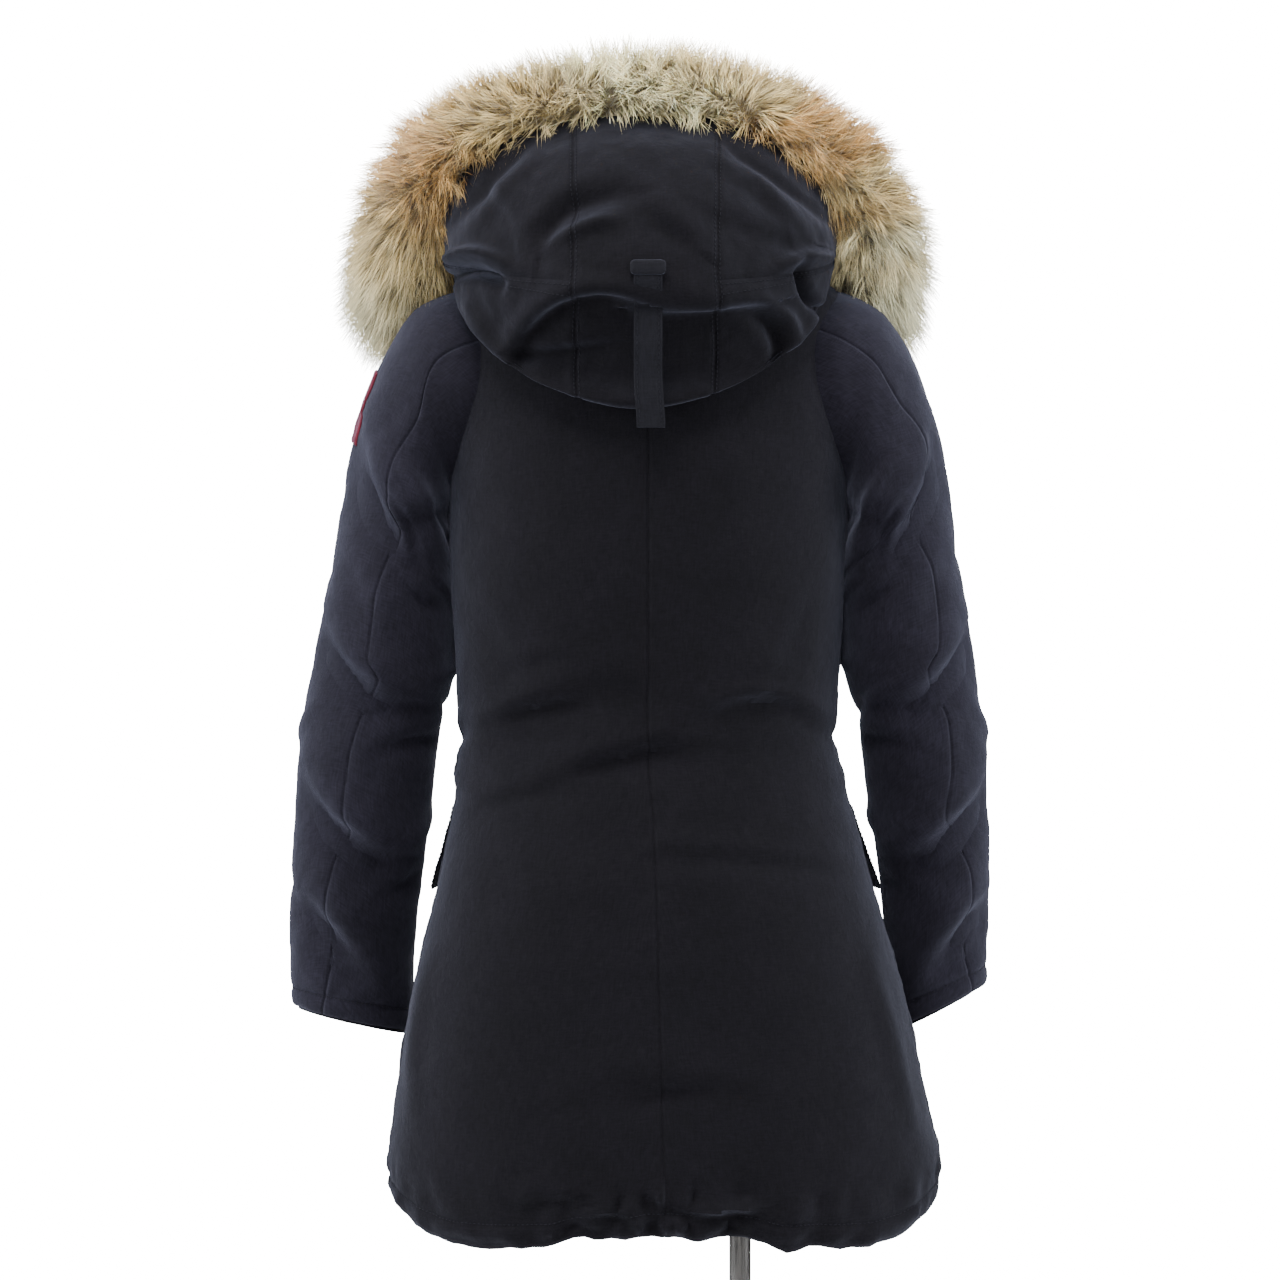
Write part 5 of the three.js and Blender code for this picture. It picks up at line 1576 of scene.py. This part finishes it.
def plate(name, node, round_by, waist=0.0, hole=0.0):
    """A rounded plate in the plane of the front, narrower at its middle, with a slot near its end."""
    middle, half = box_of(node)
    turn = np.linspace(0, 2 * math.pi, 40, endpoint=False)
    shape_x, shape_z = squared(np.cos(turn), 0.45), squared(np.sin(turn), 0.45)
    narrow = 1 - waist * np.exp(-((shape_z / 0.45) ** 2))
    rings = []
    inner_x, inner_z = 0.35 * np.cos(turn), hole * np.sin(turn)
    depths = [(0.0, -1.0), (0.4, -1.0), (1.0, -0.6), (1.0, 0.6), (0.4, 1.0), (0.0, 1.0)]
    for grow, deep in depths:
        cut = round_by * (1 - grow)
        x = middle[0] + (half[0] - cut) * shape_x * narrow
        z = middle[2] + (half[2] - cut) * shape_z
        if grow == 0.0:
            slot_x, slot_z = (inner_x, inner_z - 0.55) if hole else (0.02 * shape_x, 0.02 * shape_z)
            x = middle[0] + half[0] * slot_x
            z = middle[2] + half[2] * slot_z
        rings.append(stacked(x, middle[1] + half[1] * deep, z))
    points = np.concatenate(rings)
    count = len(turn)
    faces = []
    for k in range(len(rings) - 1 + (1 if hole else 0)):
        a, b = k * count + np.arange(count), k * count + (np.arange(count) + 1) % count
        after = ((k + 1) % len(rings)) * count
        faces.append(np.stack([b, a, a - k * count + after, b - k * count + after], axis=-1))
    if not hole:
        last = (len(rings) - 1) * count + np.arange(count)
        faces += [np.arange(count)[None, :], last[::-1][None, :]]
    return mesh_piece(name, points, faces, sharp=40)


class PARKA_OT_pockets(bpy.types.Operator):
    """Make the patch pockets and their flaps"""

    bl_idname = "parka.pockets"
    bl_label = "Pockets"

    def execute(self, context):
        flap_wall = settings().cloth.flap_wall / MM
        lines = []
        for word, side in SIDES.items():
            def place(share, level, out, side=side):
                angle = side * mix(zip_edge(level), SIDE_SEAM, share)
                return body_face(angle, level, out)

            share, level, across = self.patch(POCKET, 36, 40)
            edge = np.minimum(across, level - POCKET.bottom)
            soft = 0.8 * waves(body_form(side * share * 95, level), 34, 51, 2)
            puff = POCKET.out * (1 - 0.72 * np.exp(-edge / 4)) - bump(edge - 7, 1.8)
            puff = puff + soft * ease(edge, 2, 20)
            outer = place(share, level, puff)
            piece = cloth_wall(f"pocket_{word}_cloth", outer, place(share, level, 0.2))
            front = f"front_{word}"
            finish_sheet(piece, outer, "shell", "shell", f"pocket_{word}", "folded", front)

            share, level, across = self.patch(POCKET_FLAP, 44, 26)
            down = ease(level, POCKET_FLAP.bottom, POCKET_FLAP.top)
            over = 1 - ease(share, POCKET.stop + 0.01, POCKET_FLAP.stop)
            lift = POCKET_FLAP.lift * (1 - down) * (1 - over)
            under = 0.4 + (POCKET.out + 0.9 + POCKET_FLAP.clear) * over + lift
            edge = np.minimum(np.minimum(across, level - POCKET_FLAP.bottom), POCKET_FLAP.top - level)
            rounding = 1.1 * np.exp(-edge / 1.8)
            soft = 0.6 * waves(body_form(side * share * 95, level), 26, 53, 2) * ease(edge, 0, 12)
            outer = place(share, level, under + flap_wall - rounding - 0.5 * bump(edge - 6, 1.5) + soft)
            inner = place(share, level, under + rounding * 0.5 + soft)
            piece = cloth_wall(f"pocket_flap_{word}_cloth", outer, inner)
            finish_sheet(piece, outer, "shell", "shell", f"pocket_flap_{word}", "folded", front)
            lines += [outer[3, 3:-3], outer[3:-3, 3], outer[3:-3, -4]]
        sewn("pocket_flap_stitches", [self.proud(line) for line in lines])
        return {"FINISHED"}

    def patch(self, part, columns, rows):
        """A part's grid, and each point's distance from its sides in about millimetres."""
        across, up = crowded(part.start, part.stop, columns), crowded(part.bottom, part.top, rows)
        share, level = np.meshgrid(across, up)
        return share, level, np.minimum(share - part.start, part.stop - share) * 360

    def proud(self, line):
        """A line moved a little away from the coat's middle, so that its thread lies on the cloth."""
        return line + unit(line * [1, 1, 0]) * 0.35


class PARKA_OT_badge(bpy.types.Operator):
    """Make the plain badge on the left upper arm"""

    bl_idname = "parka.badge"
    bl_label = "Badge"

    def execute(self, context):
        wall = settings().cloth.tape_wall / MM
        share, at = np.meshgrid(crowded(BADGE.start, BADGE.stop, 24), crowded(BADGE.top, BADGE.bottom, 28))
        angle = mix(SLEEVE_FRONT_SEAM - 360, BADGE.seam, share)
        u = (share - BADGE.start) / (BADGE.stop - BADGE.start)
        v = (at - BADGE.top) / (BADGE.bottom - BADGE.top)
        edge = np.minimum(np.minimum(u, 1 - u), np.minimum(v, 1 - v)) * 60
        border = 0.5 * bump(edge - 3, 2.2) - 0.9 * np.exp(-edge / 0.8)
        outer = sleeve_face("left", angle, at, GAP + 0.75 * wall + border)
        inner = sleeve_face("left", angle, at, GAP)
        piece = cloth_wall("badge_patch", outer, inner)
        finish_sheet(piece, outer, "badge", "badge", "badge", "laid", "sleeve_left_outer")
        return {"FINISHED"}


class PARKA_OT_hood(bpy.types.Operator):
    """Make the centre and the four side panels of the hood, with their stitching"""

    bl_idname = "parka.hood"
    bl_label = "Hood"

    def execute(self, context):
        wall = settings().cloth.hood_wall / MM
        left, right, yoke = HOOD_SEAMS.left, HOOD_SEAMS.right, HOOD_SEAMS.yoke
        meet = 0.0004
        panels = {
            "hood_centre": (left, right, 0, 1),
            "hood_left_lower": (-1, left, 0, yoke),
            "hood_left_upper": (-1, left, yoke, 1),
            "hood_right_lower": (right, 1, 0, yoke),
            "hood_right_upper": (right, 1, yoke, 1),
        }
        for name, (start, stop, low, high) in panels.items():
            turn, at = np.meshgrid(self.columns(start, stop), self.rows(low, high))
            turn = turn + meet * np.sign(turn - (start + stop) / 2) * np.isin(turn, (start, stop))
            points = hood_form(turn, at)
            outer = hood_face(turn, at)
            inner = hood_face(turn, at, -wall)
            piece = cloth_wall(name + "_cloth", outer, inner)
            finish_sheet(piece, points, "shell", "shell", name, "hung", "collar", "dress_form")
        self.stitch()
        return {"FINISHED"}

    def columns(self, start, stop):
        """Places round the hood, close together where its back shows."""
        if start == -1:
            return np.concatenate([np.linspace(-1, -0.62, 15)[:-1], np.linspace(-0.62, stop, 88)])
        if stop == 1:
            return np.concatenate([np.linspace(start, 0.62, 88), np.linspace(0.62, 1, 15)[1:]])
        return np.linspace(start, stop, 38)

    def rows(self, low, high):
        """Places up the hood, far apart below its pouch."""
        if low == 0:
            below = np.concatenate([np.linspace(0, 0.34, 12)[:-1], np.linspace(0.34, HOOD_SEAMS.yoke, 62)])
            above = np.linspace(HOOD_SEAMS.yoke, 1, 60)[1:]
            return np.concatenate([below, above]) if high == 1 else below
        return np.linspace(low, high, 60)

    def stitch(self):
        """Rows of stitches beside the centre seams and below the yoke seams."""
        at = np.linspace(0.4, 0.995, 260)
        lines = []
        for seam, sign in ((HOOD_SEAMS.left, 1), (HOOD_SEAMS.right, -1)):
            for beside in (sign * HOOD_LINE, -sign * HOOD_LINE):
                lines.append(hood_face(np.full(at.shape, seam + beside), at, 0.3))
        for start, stop in ((-0.62, HOOD_SEAMS.left - 0.008), (HOOD_SEAMS.right + 0.008, 0.62)):
            turn = np.linspace(start, stop, 150)
            for down in (0.008, 0.024):
                lines.append(hood_face(turn, np.full(turn.shape, HOOD_SEAMS.yoke - down), 0.3))
        sewn("hood_stitches", lines)


class PARKA_OT_strap(bpy.types.Operator):
    """Make the strap on the hood's back and the bar that holds it"""

    bl_idname = "parka.strap"
    bl_label = "Strap"

    def execute(self, context):
        wall = settings().cloth.tape_wall / MM
        at = np.linspace(STRAP.top, STRAP.bend, 26)
        on_hood = hood_face(0.0, at, STRAP.clear, smooth=True)
        bend = on_hood[-1]
        hang = np.linspace(0, 1, 40)[1:]
        y = bend[1] - 1 * ease(hang, 0, 0.3) - 4 * ease(hang, 0.3, 0.65) - 3 * ease(hang, 0.65, 1)
        free = stacked(0, y, mix(bend[2], STRAP.end, hang))
        line = np.concatenate([on_hood, free])
        across = crowded(-0.5, 0.5, 14, 0.6)
        lean = 2.5 * np.concatenate([np.zeros(len(at)), -ease(hang, 0.55, 1.0)])
        ripple = 0.5 * np.sin(np.linspace(0, 15, len(line)))
        grid = np.repeat(line[:, None, :], len(across), axis=1)
        grid[..., 0] = STRAP.x + across[None, :] * STRAP.wide + lean[:, None]
        edge = (0.5 - np.abs(across)) * STRAP.wide
        outer = grid + stacked(0, wall - 0.5 * np.exp(-edge / 1) - 0.35 * bump(edge - 3, 1), 0)[None]
        outer = outer + stacked(0, ripple, 0)[:, None, :]
        inner = grid + stacked(0, ripple + 0.1, 0)[:, None, :]
        piece = cloth_wall("hood_strap_tape", outer, inner)
        finish_sheet(piece, grid, "tape", "tape", "hood_strap", "hung", "hood_centre")
        rows = [outer[2:-2, k] + [0, 0.3, 0] for k in (3, len(across) - 4)]
        sewn("hood_strap_stitches", rows)

        middle, half = box_of("hood_strap_bar")
        turn = np.linspace(0, 2 * math.pi, 20, endpoint=False)
        x = middle[0] + np.linspace(-half[0], half[0], 25)
        rounded = 1 - 0.5 * np.exp(-np.minimum(x - x[0], x[-1] - x) / 1.2)
        ring_y, ring_z = half[1] * squared(np.sin(turn), 0.7), half[2] * squared(np.cos(turn), 0.6)
        x, rounded = x[:, None], rounded[:, None]
        grid = stacked(x, middle[1] + ring_y * rounded, middle[2] + ring_z * rounded)
        core = stacked(x, middle[1] + 0.15 * ring_y, middle[2] + 0.8 * ring_z)
        bar = cloth_wall("hood_strap_bar_tape", grid, core, closed=True)
        finish_part(bar, cloth_material("tape"), "tape", "hood_strap_bar")
        return {"FINISHED"}


class PARKA_OT_ruff(bpy.types.Operator):
    """Make the ruff: dense underfur round the hood's edge, and long hair over it"""

    bl_idname = "parka.ruff"
    bl_label = "Ruff"

    def execute(self, context):
        fur = settings().fur
        rng = np.random.default_rng(fur.seed)
        self.underfur()
        share, turn = self.roots(rng, fur.hairs)
        points, away, through, along = self.place(share, turn)
        tufts = rng.choice(len(share), min(fur.tufts, len(share)), replace=False)
        tuft = self.nearest(points, points[tufts])
        aim, curl, tip = self.combed(rng, share, turn, points, away, through, along, tufts, tuft)
        shade = rng.uniform(0.62, 1.24, len(tufts))[tuft]
        tones = np.clip(self.tones(points, rng) * shade[:, None], 0, 1)
        clear = self.free(points, aim)
        parts = {
            "left_low": (0.0, 0.27),
            "left_high": (0.27, 0.5),
            "right_high": (0.5, 0.73),
            "right_low": (0.73, 1.0001),
        }
        for name, (low, high) in parts.items():
            chosen = (share >= low) & (share < high) & clear
            self.grow(name, *(values[chosen] for values in (points, aim, curl, tip, tones)))
        return {"FINISHED"}

    def line(self, shares):
        """Points of the ruff's middle line, from the left front end to the right one."""
        left = [(row.left, row.y, row.z) for row in RUFF_LINE]
        right = [(row.right, row.y, row.z) for row in RUFF_LINE[-2::-1]]
        points = np.array(left + right, float)
        ends = np.vstack([2 * points[0] - points[1], points, 2 * points[-1] - points[-2]])
        place = clamp01(shares) * (len(points) - 1)
        i = np.minimum(place.astype(int), len(points) - 2)
        t = (place - i)[:, None]
        p0, p1, p2, p3 = (ends[i + k] for k in range(4))
        pairs = ((p0, p1), (p1, p2), (p2, p3))
        d0, d1, d2 = (np.linalg.norm(b - a, axis=1, keepdims=True) ** 0.5 for a, b in pairs)
        t1 = ((p1 - p0) / d0 - (p2 - p0) / (d0 + d1) + (p2 - p1) / d1) * d1
        t2 = ((p2 - p1) / d1 - (p3 - p1) / (d1 + d2) + (p3 - p2) / d2) * d1
        return p1 + t1 * t + (-3 * p1 + 3 * p2 - 2 * t1 - t2) * t**2 + (2 * p1 - 2 * p2 + t1 + t2) * t**3

    def place(self, share, turn):
        """Points on the underfur, and the directions away from the hood, through the fur and along it."""
        middle = self.line(share)
        along = unit(self.line(share + 0.002) - self.line(share - 0.002))
        away = middle - RUFF_MIDDLE
        away = unit(away - along * (away * along).sum(axis=-1, keepdims=True))
        through = np.cross(along, away)
        size = ruff_size(1 - np.abs(1 - 2 * clamp01(share)))
        a = np.radians(turn)
        inward = ease(-np.cos(a), -0.1, 0.7)
        depth = mix(settings().fur.depth / MM, -2.0, inward)
        across = np.maximum(size.across - depth, 6)
        deep = np.maximum(size.through - 0.8 * settings().fur.depth / MM, 6)
        lumps = 1 + 0.09 * np.sin(share * 57 + 1.3) * np.sin(a * 2 + share * 31) + 0.06 * np.sin(share * 133)
        out, over = (across * lumps * np.cos(a))[:, None], (deep * lumps * np.sin(a))[:, None]
        return middle + away * out + through * over, away, through, along

    def underfur(self):
        rows, sides = 150, 40
        share = np.repeat(np.linspace(0, 1, rows), sides)
        turn = np.tile(np.linspace(0, 360, sides, endpoint=False), rows)
        points = self.place(share, turn)[0].reshape(rows, sides, 3)
        ends = np.minimum(np.linspace(0, 1, rows), np.linspace(1, 0, rows))
        closing = (1 - np.exp(-ends / 0.006))[:, None, None]
        middle = points.mean(axis=1, keepdims=True)
        points = middle + (points - middle) * np.maximum(closing, 0.03)
        points = points + unit(points - middle) * (2.2 * waves(points, 13, 61, 3))[..., None]
        flat = points.reshape(-1, 3)
        obj = mesh_piece("ruff_underfur", flat, tube_faces(rows, sides), sharp=80)
        hue = obj.data.color_attributes.new("hue", "FLOAT_COLOR", "POINT")
        tones = self.tones(flat, np.random.default_rng(1)) * 0.62
        hue.data.foreach_set("color", np.column_stack([tones, np.ones(len(flat))]).astype(np.float32).ravel())
        finish_part(obj, underfur_material("underfur"), "fur", "ruff")

    def roots(self, rng, count):
        """Places of the hairs, with more of them where the back of the ruff shows."""
        share, turn = rng.uniform(0, 1, count * 4), rng.uniform(0, 360, count * 4)
        top = ruff_size(1 - np.abs(1 - 2 * share))
        wanted = (top.across + top.through) / 95
        outer = 0.45 + 0.55 * ease(np.cos(np.radians(turn - 60)), -0.9, 0.3)
        chosen = rng.uniform(0, 1, count * 4) < wanted * outer
        share, turn = share[chosen][:count], turn[chosen][:count]
        return share, turn

    def combed(self, rng, share, turn, points, away, through, along, tufts, tuft):
        """Each hair's aim and curl: out over the roll, down at the sides, and in to its tuft."""
        fur = settings().fur
        a = np.radians(turn)[:, None]
        normal = unit(away * np.cos(a) + through * np.sin(a))
        over = np.where(a < math.pi, 1, -1) * (away * np.sin(a) - through * np.cos(a))
        down = np.array([0, 0, -1.0])
        at_side = (1 - ease(points[:, 2], 1470, 1600))[:, None]
        lean = 0.75 + 0.25 * rng.uniform(-1, 1, (len(share), 1))
        swirl = 0.3 * np.sin(share * 41 + 2 * np.sin(turn * 0.03))[:, None]
        aim = unit(0.72 * normal + lean * over * 0.72 + down * (0.1 + 0.5 * at_side) + along * swirl)
        wild = rng.normal(0, 0.25, (len(tufts), 3))[tuft]
        aim = unit(aim + wild + rng.normal(0, 0.22, aim.shape))
        size = fur.length / MM * (0.72 + 0.5 * rng.uniform(0, 1, len(share)) ** 1.5)
        inner = ease(np.cos(np.radians(turn - 190)), 0.5, 0.95)
        size = size * (1 - 0.35 * inner)
        tip = (rng.uniform(0, 1, len(share)) < 0.06).astype(float)
        size = size * np.where(tip > 0, 1.22, 1.0)
        ends = points + aim * size[:, None]
        target = ends[tufts][tuft]
        pull = rng.uniform(0.05, 0.75, (len(share), 1))
        ends = mix(ends, target, pull * (0.35 + 0.65 * (size / size.max()))[:, None])
        aim = ends - points
        curl = down * size[:, None] * (0.1 + 0.22 * at_side) + rng.normal(0, 2.4, aim.shape)
        return aim, curl, tip

    def nearest(self, points, centres):
        found = np.zeros(len(points), int)
        for start in range(0, len(points), 2000):
            block = points[start : start + 2000]
            distance = ((block[:, None, :] - centres[None]) ** 2).sum(axis=-1)
            found[start : start + 2000] = distance.argmin(axis=1)
        return found

    def tones(self, points, rng):
        """A colour for each hair, from the patches near it and its own small difference."""
        fur = settings().fur
        total = np.full(len(points), 0.02)
        colour = np.array(fur.tan[:]) * total[:, None]
        drift = 26 * np.sin(points[:, [2]] * 0.11 + points[:, [1]] * 0.07)
        place = points + np.concatenate([drift, drift * 0, drift * 0.6], axis=1)
        for patch in FUR_PATCHES:
            off = np.hypot(place[:, 0] - patch.x, place[:, 2] - patch.z)
            weight = np.exp(-((off / patch.wide) ** 2))
            colour = colour + weight[:, None] * np.array(getattr(fur, patch.tone)[:])
            total = total + weight
        colour = colour / total[:, None]
        paler = rng.uniform(0, 0.5, (len(points), 1)) ** 2 * 1.6
        colour = mix(colour, np.array(fur.cream[:]), paler)
        clump = 1 + 0.3 * waves(points * [1, 0.6, 1], 17, 71, 2)[:, None]
        return np.clip(colour * clump * rng.uniform(0.42, 1.28, (len(points), 1)), 0, 1)

    def free(self, points, aim):
        """Hairs whose root and end lie clear of the body's cloth."""
        return (depth_in_body(points) < 0) & (depth_in_body(points + aim) < 0.02)

    def grow(self, name, points, aim, curl, tip, tones):
        fur = settings().fur
        mesh = bpy.data.meshes.new(name)
        mesh.from_pydata((points * MM).tolist(), [], [])
        hue = np.column_stack([tones, np.ones(len(tones))])
        stored = (
            ("aim", "FLOAT_VECTOR", "vector", aim * MM),
            ("curl", "FLOAT_VECTOR", "vector", curl * MM),
            ("tip", "FLOAT", "value", tip),
            ("hue", "FLOAT_COLOR", "color", hue),
        )
        for label, kind, field, values in stored:
            data = mesh.attributes.new(label, kind, "POINT").data
            data.foreach_set(field, values.astype(np.float32).ravel())
        obj = grown(
            f"ruff_hair_{name}",
            link(name + "_roots", mesh),
            fur_tree("fur hairs"),
            smooth=True,
            Width=fur.width,
            Seed=fur.seed,
            Hair=fur_material("long fur"),
        )
        for label in ("aim", "curl"):
            if label in obj.data.attributes:
                obj.data.attributes.remove(obj.data.attributes[label])
        finish_part(obj, fur_material("long fur"), "fur")


class PARKA_OT_stitching(bpy.types.Operator):
    """Make the stitches of the hem, the cuffs, the collar and the front"""

    bl_idname = "parka.stitching"
    bl_label = "Stitching"

    def execute(self, context):
        angle = np.linspace(6, 354, 700)
        hem = [body_face(angle, np.full(angle.shape, float(HEM_LEVEL + HEM_LINE)), 0.3)]
        sewn("hem_stitches", hem)
        turn = np.linspace(0, 360, 200)
        low = np.full(turn.shape, 1 - CUFF_LINE / SLEEVE_LENGTH)
        cuffs = [sleeve_face(word, turn, low, 0.3) for word in SIDES]
        sewn("cuff_stitches", cuffs)
        levels = np.linspace(HEM_LEVEL + 30, NECK_LEVEL - 4, 400)
        front = []
        for sign in (1, -1):
            across = sign * (ZIP.half + FRONT_LINE)
            front.append(body_face(front_angle(across, levels), levels, 0.3))
        edge = float(zip_edge(NECK_LEVEL))
        round_by = np.linspace(edge + 4, 356 - edge, 220)
        front.append(collar_face(round_by, np.full(round_by.shape, 1 - COLLAR_LINE / COLLAR.height), 0.1))
        sewn("front_stitches", front)
        return {"FINISHED"}


class PARKA_OT_form(bpy.types.Operator):
    """Make the limbless dress form that carries the coat"""

    bl_idname = "parka.form"
    bl_label = "Dress Form"

    def execute(self, context):
        angle = np.linspace(0, 360, 84, endpoint=False)
        body, shoulders = np.linspace(818, 1430, 34), np.linspace(1437, NECK_LEVEL, 12)
        levels = np.concatenate([[FORM_BOTTOM, 800], body, shoulders])
        rings = []
        for level in levels:
            flat = np.full(angle.shape, float(level))
            inset = float(form_inset(level).inset) + 1.0
            ring = body_form(angle, flat) - normals_of(body_form, angle, flat, 0.5, 1) * inset
            if level == FORM_BOTTOM:
                for share in (0.02, 0.96):
                    rings.append(mix(ring.mean(axis=0), ring, share) * [1, 1, 0] + [0, 0, level + 0.2])
                ring[:, 2] = level + 3
            rings.append(ring)
        turn = np.radians(angle)
        for z, radius in FORM_NECK:
            rings.append(stacked(radius * np.sin(turn), -radius * np.cos(turn), float(z)))
        faces = tube_faces(len(rings), len(angle))
        obj = mesh_piece("dress_form_cover", np.concatenate(rings), faces, sharp=60)
        finish_part(obj, cloth_material("jersey"), "form", "dress_form")
        return {"FINISHED"}


class PARKA_OT_stand(bpy.types.Operator):
    """Make the pole, its socket and boss, and the round base plate"""

    bl_idname = "parka.stand"
    bl_label = "Stand"

    def execute(self, context):
        stand = settings().stand
        base, thick, pole = stand.base_radius / MM, stand.base_thickness / MM, stand.pole_radius / MM
        steel = steel_material()
        boss_top = thick + 34
        socket_low = FORM_BOTTOM - 30
        rim = [(base - 1.5, 0), (base, 1.5), (base, thick - 2.5), (base - 0.8, thick - 0.8)]
        flange = [(21, thick), (22, thick + 1), (22, thick + 6)]
        sleeve = [(10.2, socket_low), (22, socket_low), (24, socket_low + 2)]
        profiles = {
            "stand_base": [*rim, (base - 2.5, thick), (24, thick)],
            "stand_boss": [*flange, (17, thick + 12), (15.5, boss_top - 2), (14, boss_top), (10.2, boss_top)],
            "stand_pole": [(pole, boss_top), (pole, boss_top + 200), (pole, 500), (pole, socket_low)],
            "stand_socket": [*sleeve, (24, FORM_BOTTOM - 2), (23, FORM_BOTTOM)],
        }
        for name, profile in profiles.items():
            piece = turned_piece(name + "_turned", profile, POLE_X)
            finish_part(piece, steel, "steel", name)
        return {"FINISHED"}


class PARKA_OT_stage(bpy.types.Operator):
    """Set the floor, the light and the camera"""

    bl_idname = "parka.stage"
    bl_label = "Stage"

    def execute(self, context):
        stage = settings().stage
        bpy.ops.mesh.primitive_circle_add(vertices=96, radius=stage.floor_radius, fill_type="NGON")
        floor = bpy.context.object
        floor.location = (0, 0, -0.0005)
        floor.name = "floor"
        floor.data.materials.append(plain_material("pale floor", stage.floor, 0.9))
        self.light("left_light", (3.0, 0.7, 1.7), 2.2, stage.side, COOL)
        self.light("right_light", (-3.0, 0.7, 1.7), 2.2, stage.side, COOL)
        self.light("top_light", (0.3, 1.2, 3.6), 1.8, stage.top)
        self.light("back_light", (0.4, 3.8, 1.9), 3.2, stage.fill)
        self.light("front_light", (-0.8, -3.4, 2.4), 2.6, 2 * stage.fill)
        self.sky(stage.sky)
        camera = link("camera", bpy.data.cameras.new("camera"))
        camera.location = (0, EYE.away, EYE.high)
        camera.rotation_euler = (math.radians(90), 0, math.radians(180))
        camera.data.lens = EYE.lens
        camera.data.sensor_width = EYE.sensor
        bpy.context.scene.camera = camera
        return {"FINISHED"}

    def light(self, name, place, size, power, tint=(1, 1, 1)):
        data = bpy.data.lights.new(name, "AREA")
        data.shape = "DISK"
        data.size = size
        data.energy = power
        data.color = tint
        obj = link(name, data)
        obj.location = place
        aim = Vector((0, 0, 1.15)) - Vector(place)
        obj.rotation_euler = aim.to_track_quat("-Z", "Y").to_euler()

    def sky(self, strength):
        """Plain white light from all round. The camera sees it as a white backdrop."""
        world = bpy.data.worlds.new("soft studio")
        bpy.context.scene.world = world
        world.use_nodes = True
        s = Shader(world.node_tree)
        plain = world.node_tree.nodes["Background"]
        s.feed(plain, {"Color": (1, 1, 1, 1), "Strength": strength})
        backdrop = s.add("ShaderNodeBackground", {"Color": (1, 1, 1, 1), "Strength": 22.0})
        camera = s.add("ShaderNodeLightPath").outputs["Is Camera Ray"]
        seen = s.add("ShaderNodeMixShader", {0: camera, 1: plain.outputs[0], 2: backdrop.outputs[0]})
        s.feed(world.node_tree.nodes["World Output"], {"Surface": seen.outputs[0]})


class PARKA_PT_panel(bpy.types.Panel):
    """Lists the steps that make the parka"""

    bl_idname = "PARKA_PT_panel"
    bl_label = "Hooded Parka"
    bl_space_type = "VIEW_3D"
    bl_region_type = "UI"
    bl_category = "Parka"

    def draw(self, context):
        for operator in OPERATORS:
            self.layout.operator(operator.bl_idname)
        for group in ("cloth", "sewing", "fastener", "fur", "stand", "stage"):
            values = getattr(context.scene.parka, group)
            box = self.layout.box()
            box.label(text=group.capitalize())
            for name in values.__annotations__:
                box.prop(values, name)


OPERATORS = (
    PARKA_OT_stage,
    PARKA_OT_stand,
    PARKA_OT_form,
    PARKA_OT_body,
    PARKA_OT_sleeves,
    PARKA_OT_cuffs,
    PARKA_OT_collar,
    PARKA_OT_zip,
    PARKA_OT_pockets,
    PARKA_OT_badge,
    PARKA_OT_hood,
    PARKA_OT_strap,
    PARKA_OT_ruff,
    PARKA_OT_stitching,
)
CLASSES = (
    ParkaCloth,
    ParkaSewing,
    ParkaFastener,
    ParkaFur,
    ParkaStand,
    ParkaStage,
    ParkaSettings,
    *OPERATORS,
    PARKA_PT_panel,
)


def register():
    for cls in CLASSES:
        bpy.utils.register_class(cls)
    bpy.types.Scene.parka = bpy.props.PointerProperty(type=ParkaSettings)


def unregister():
    del bpy.types.Scene.parka
    for cls in reversed(CLASSES):
        bpy.utils.unregister_class(cls)


def main():
    register()
    for obj in list(bpy.context.scene.objects):
        if obj.type in ("LIGHT", "CAMERA") or obj.name == "Cube":
            bpy.data.objects.remove(obj)
    for operator in OPERATORS:
        step = getattr(bpy.ops.parka, operator.bl_idname.split(".")[1])
        if step() != {"FINISHED"}:
            raise RuntimeError(f"{operator.bl_idname} did not finish")


if __name__ == "__main__":
    main()
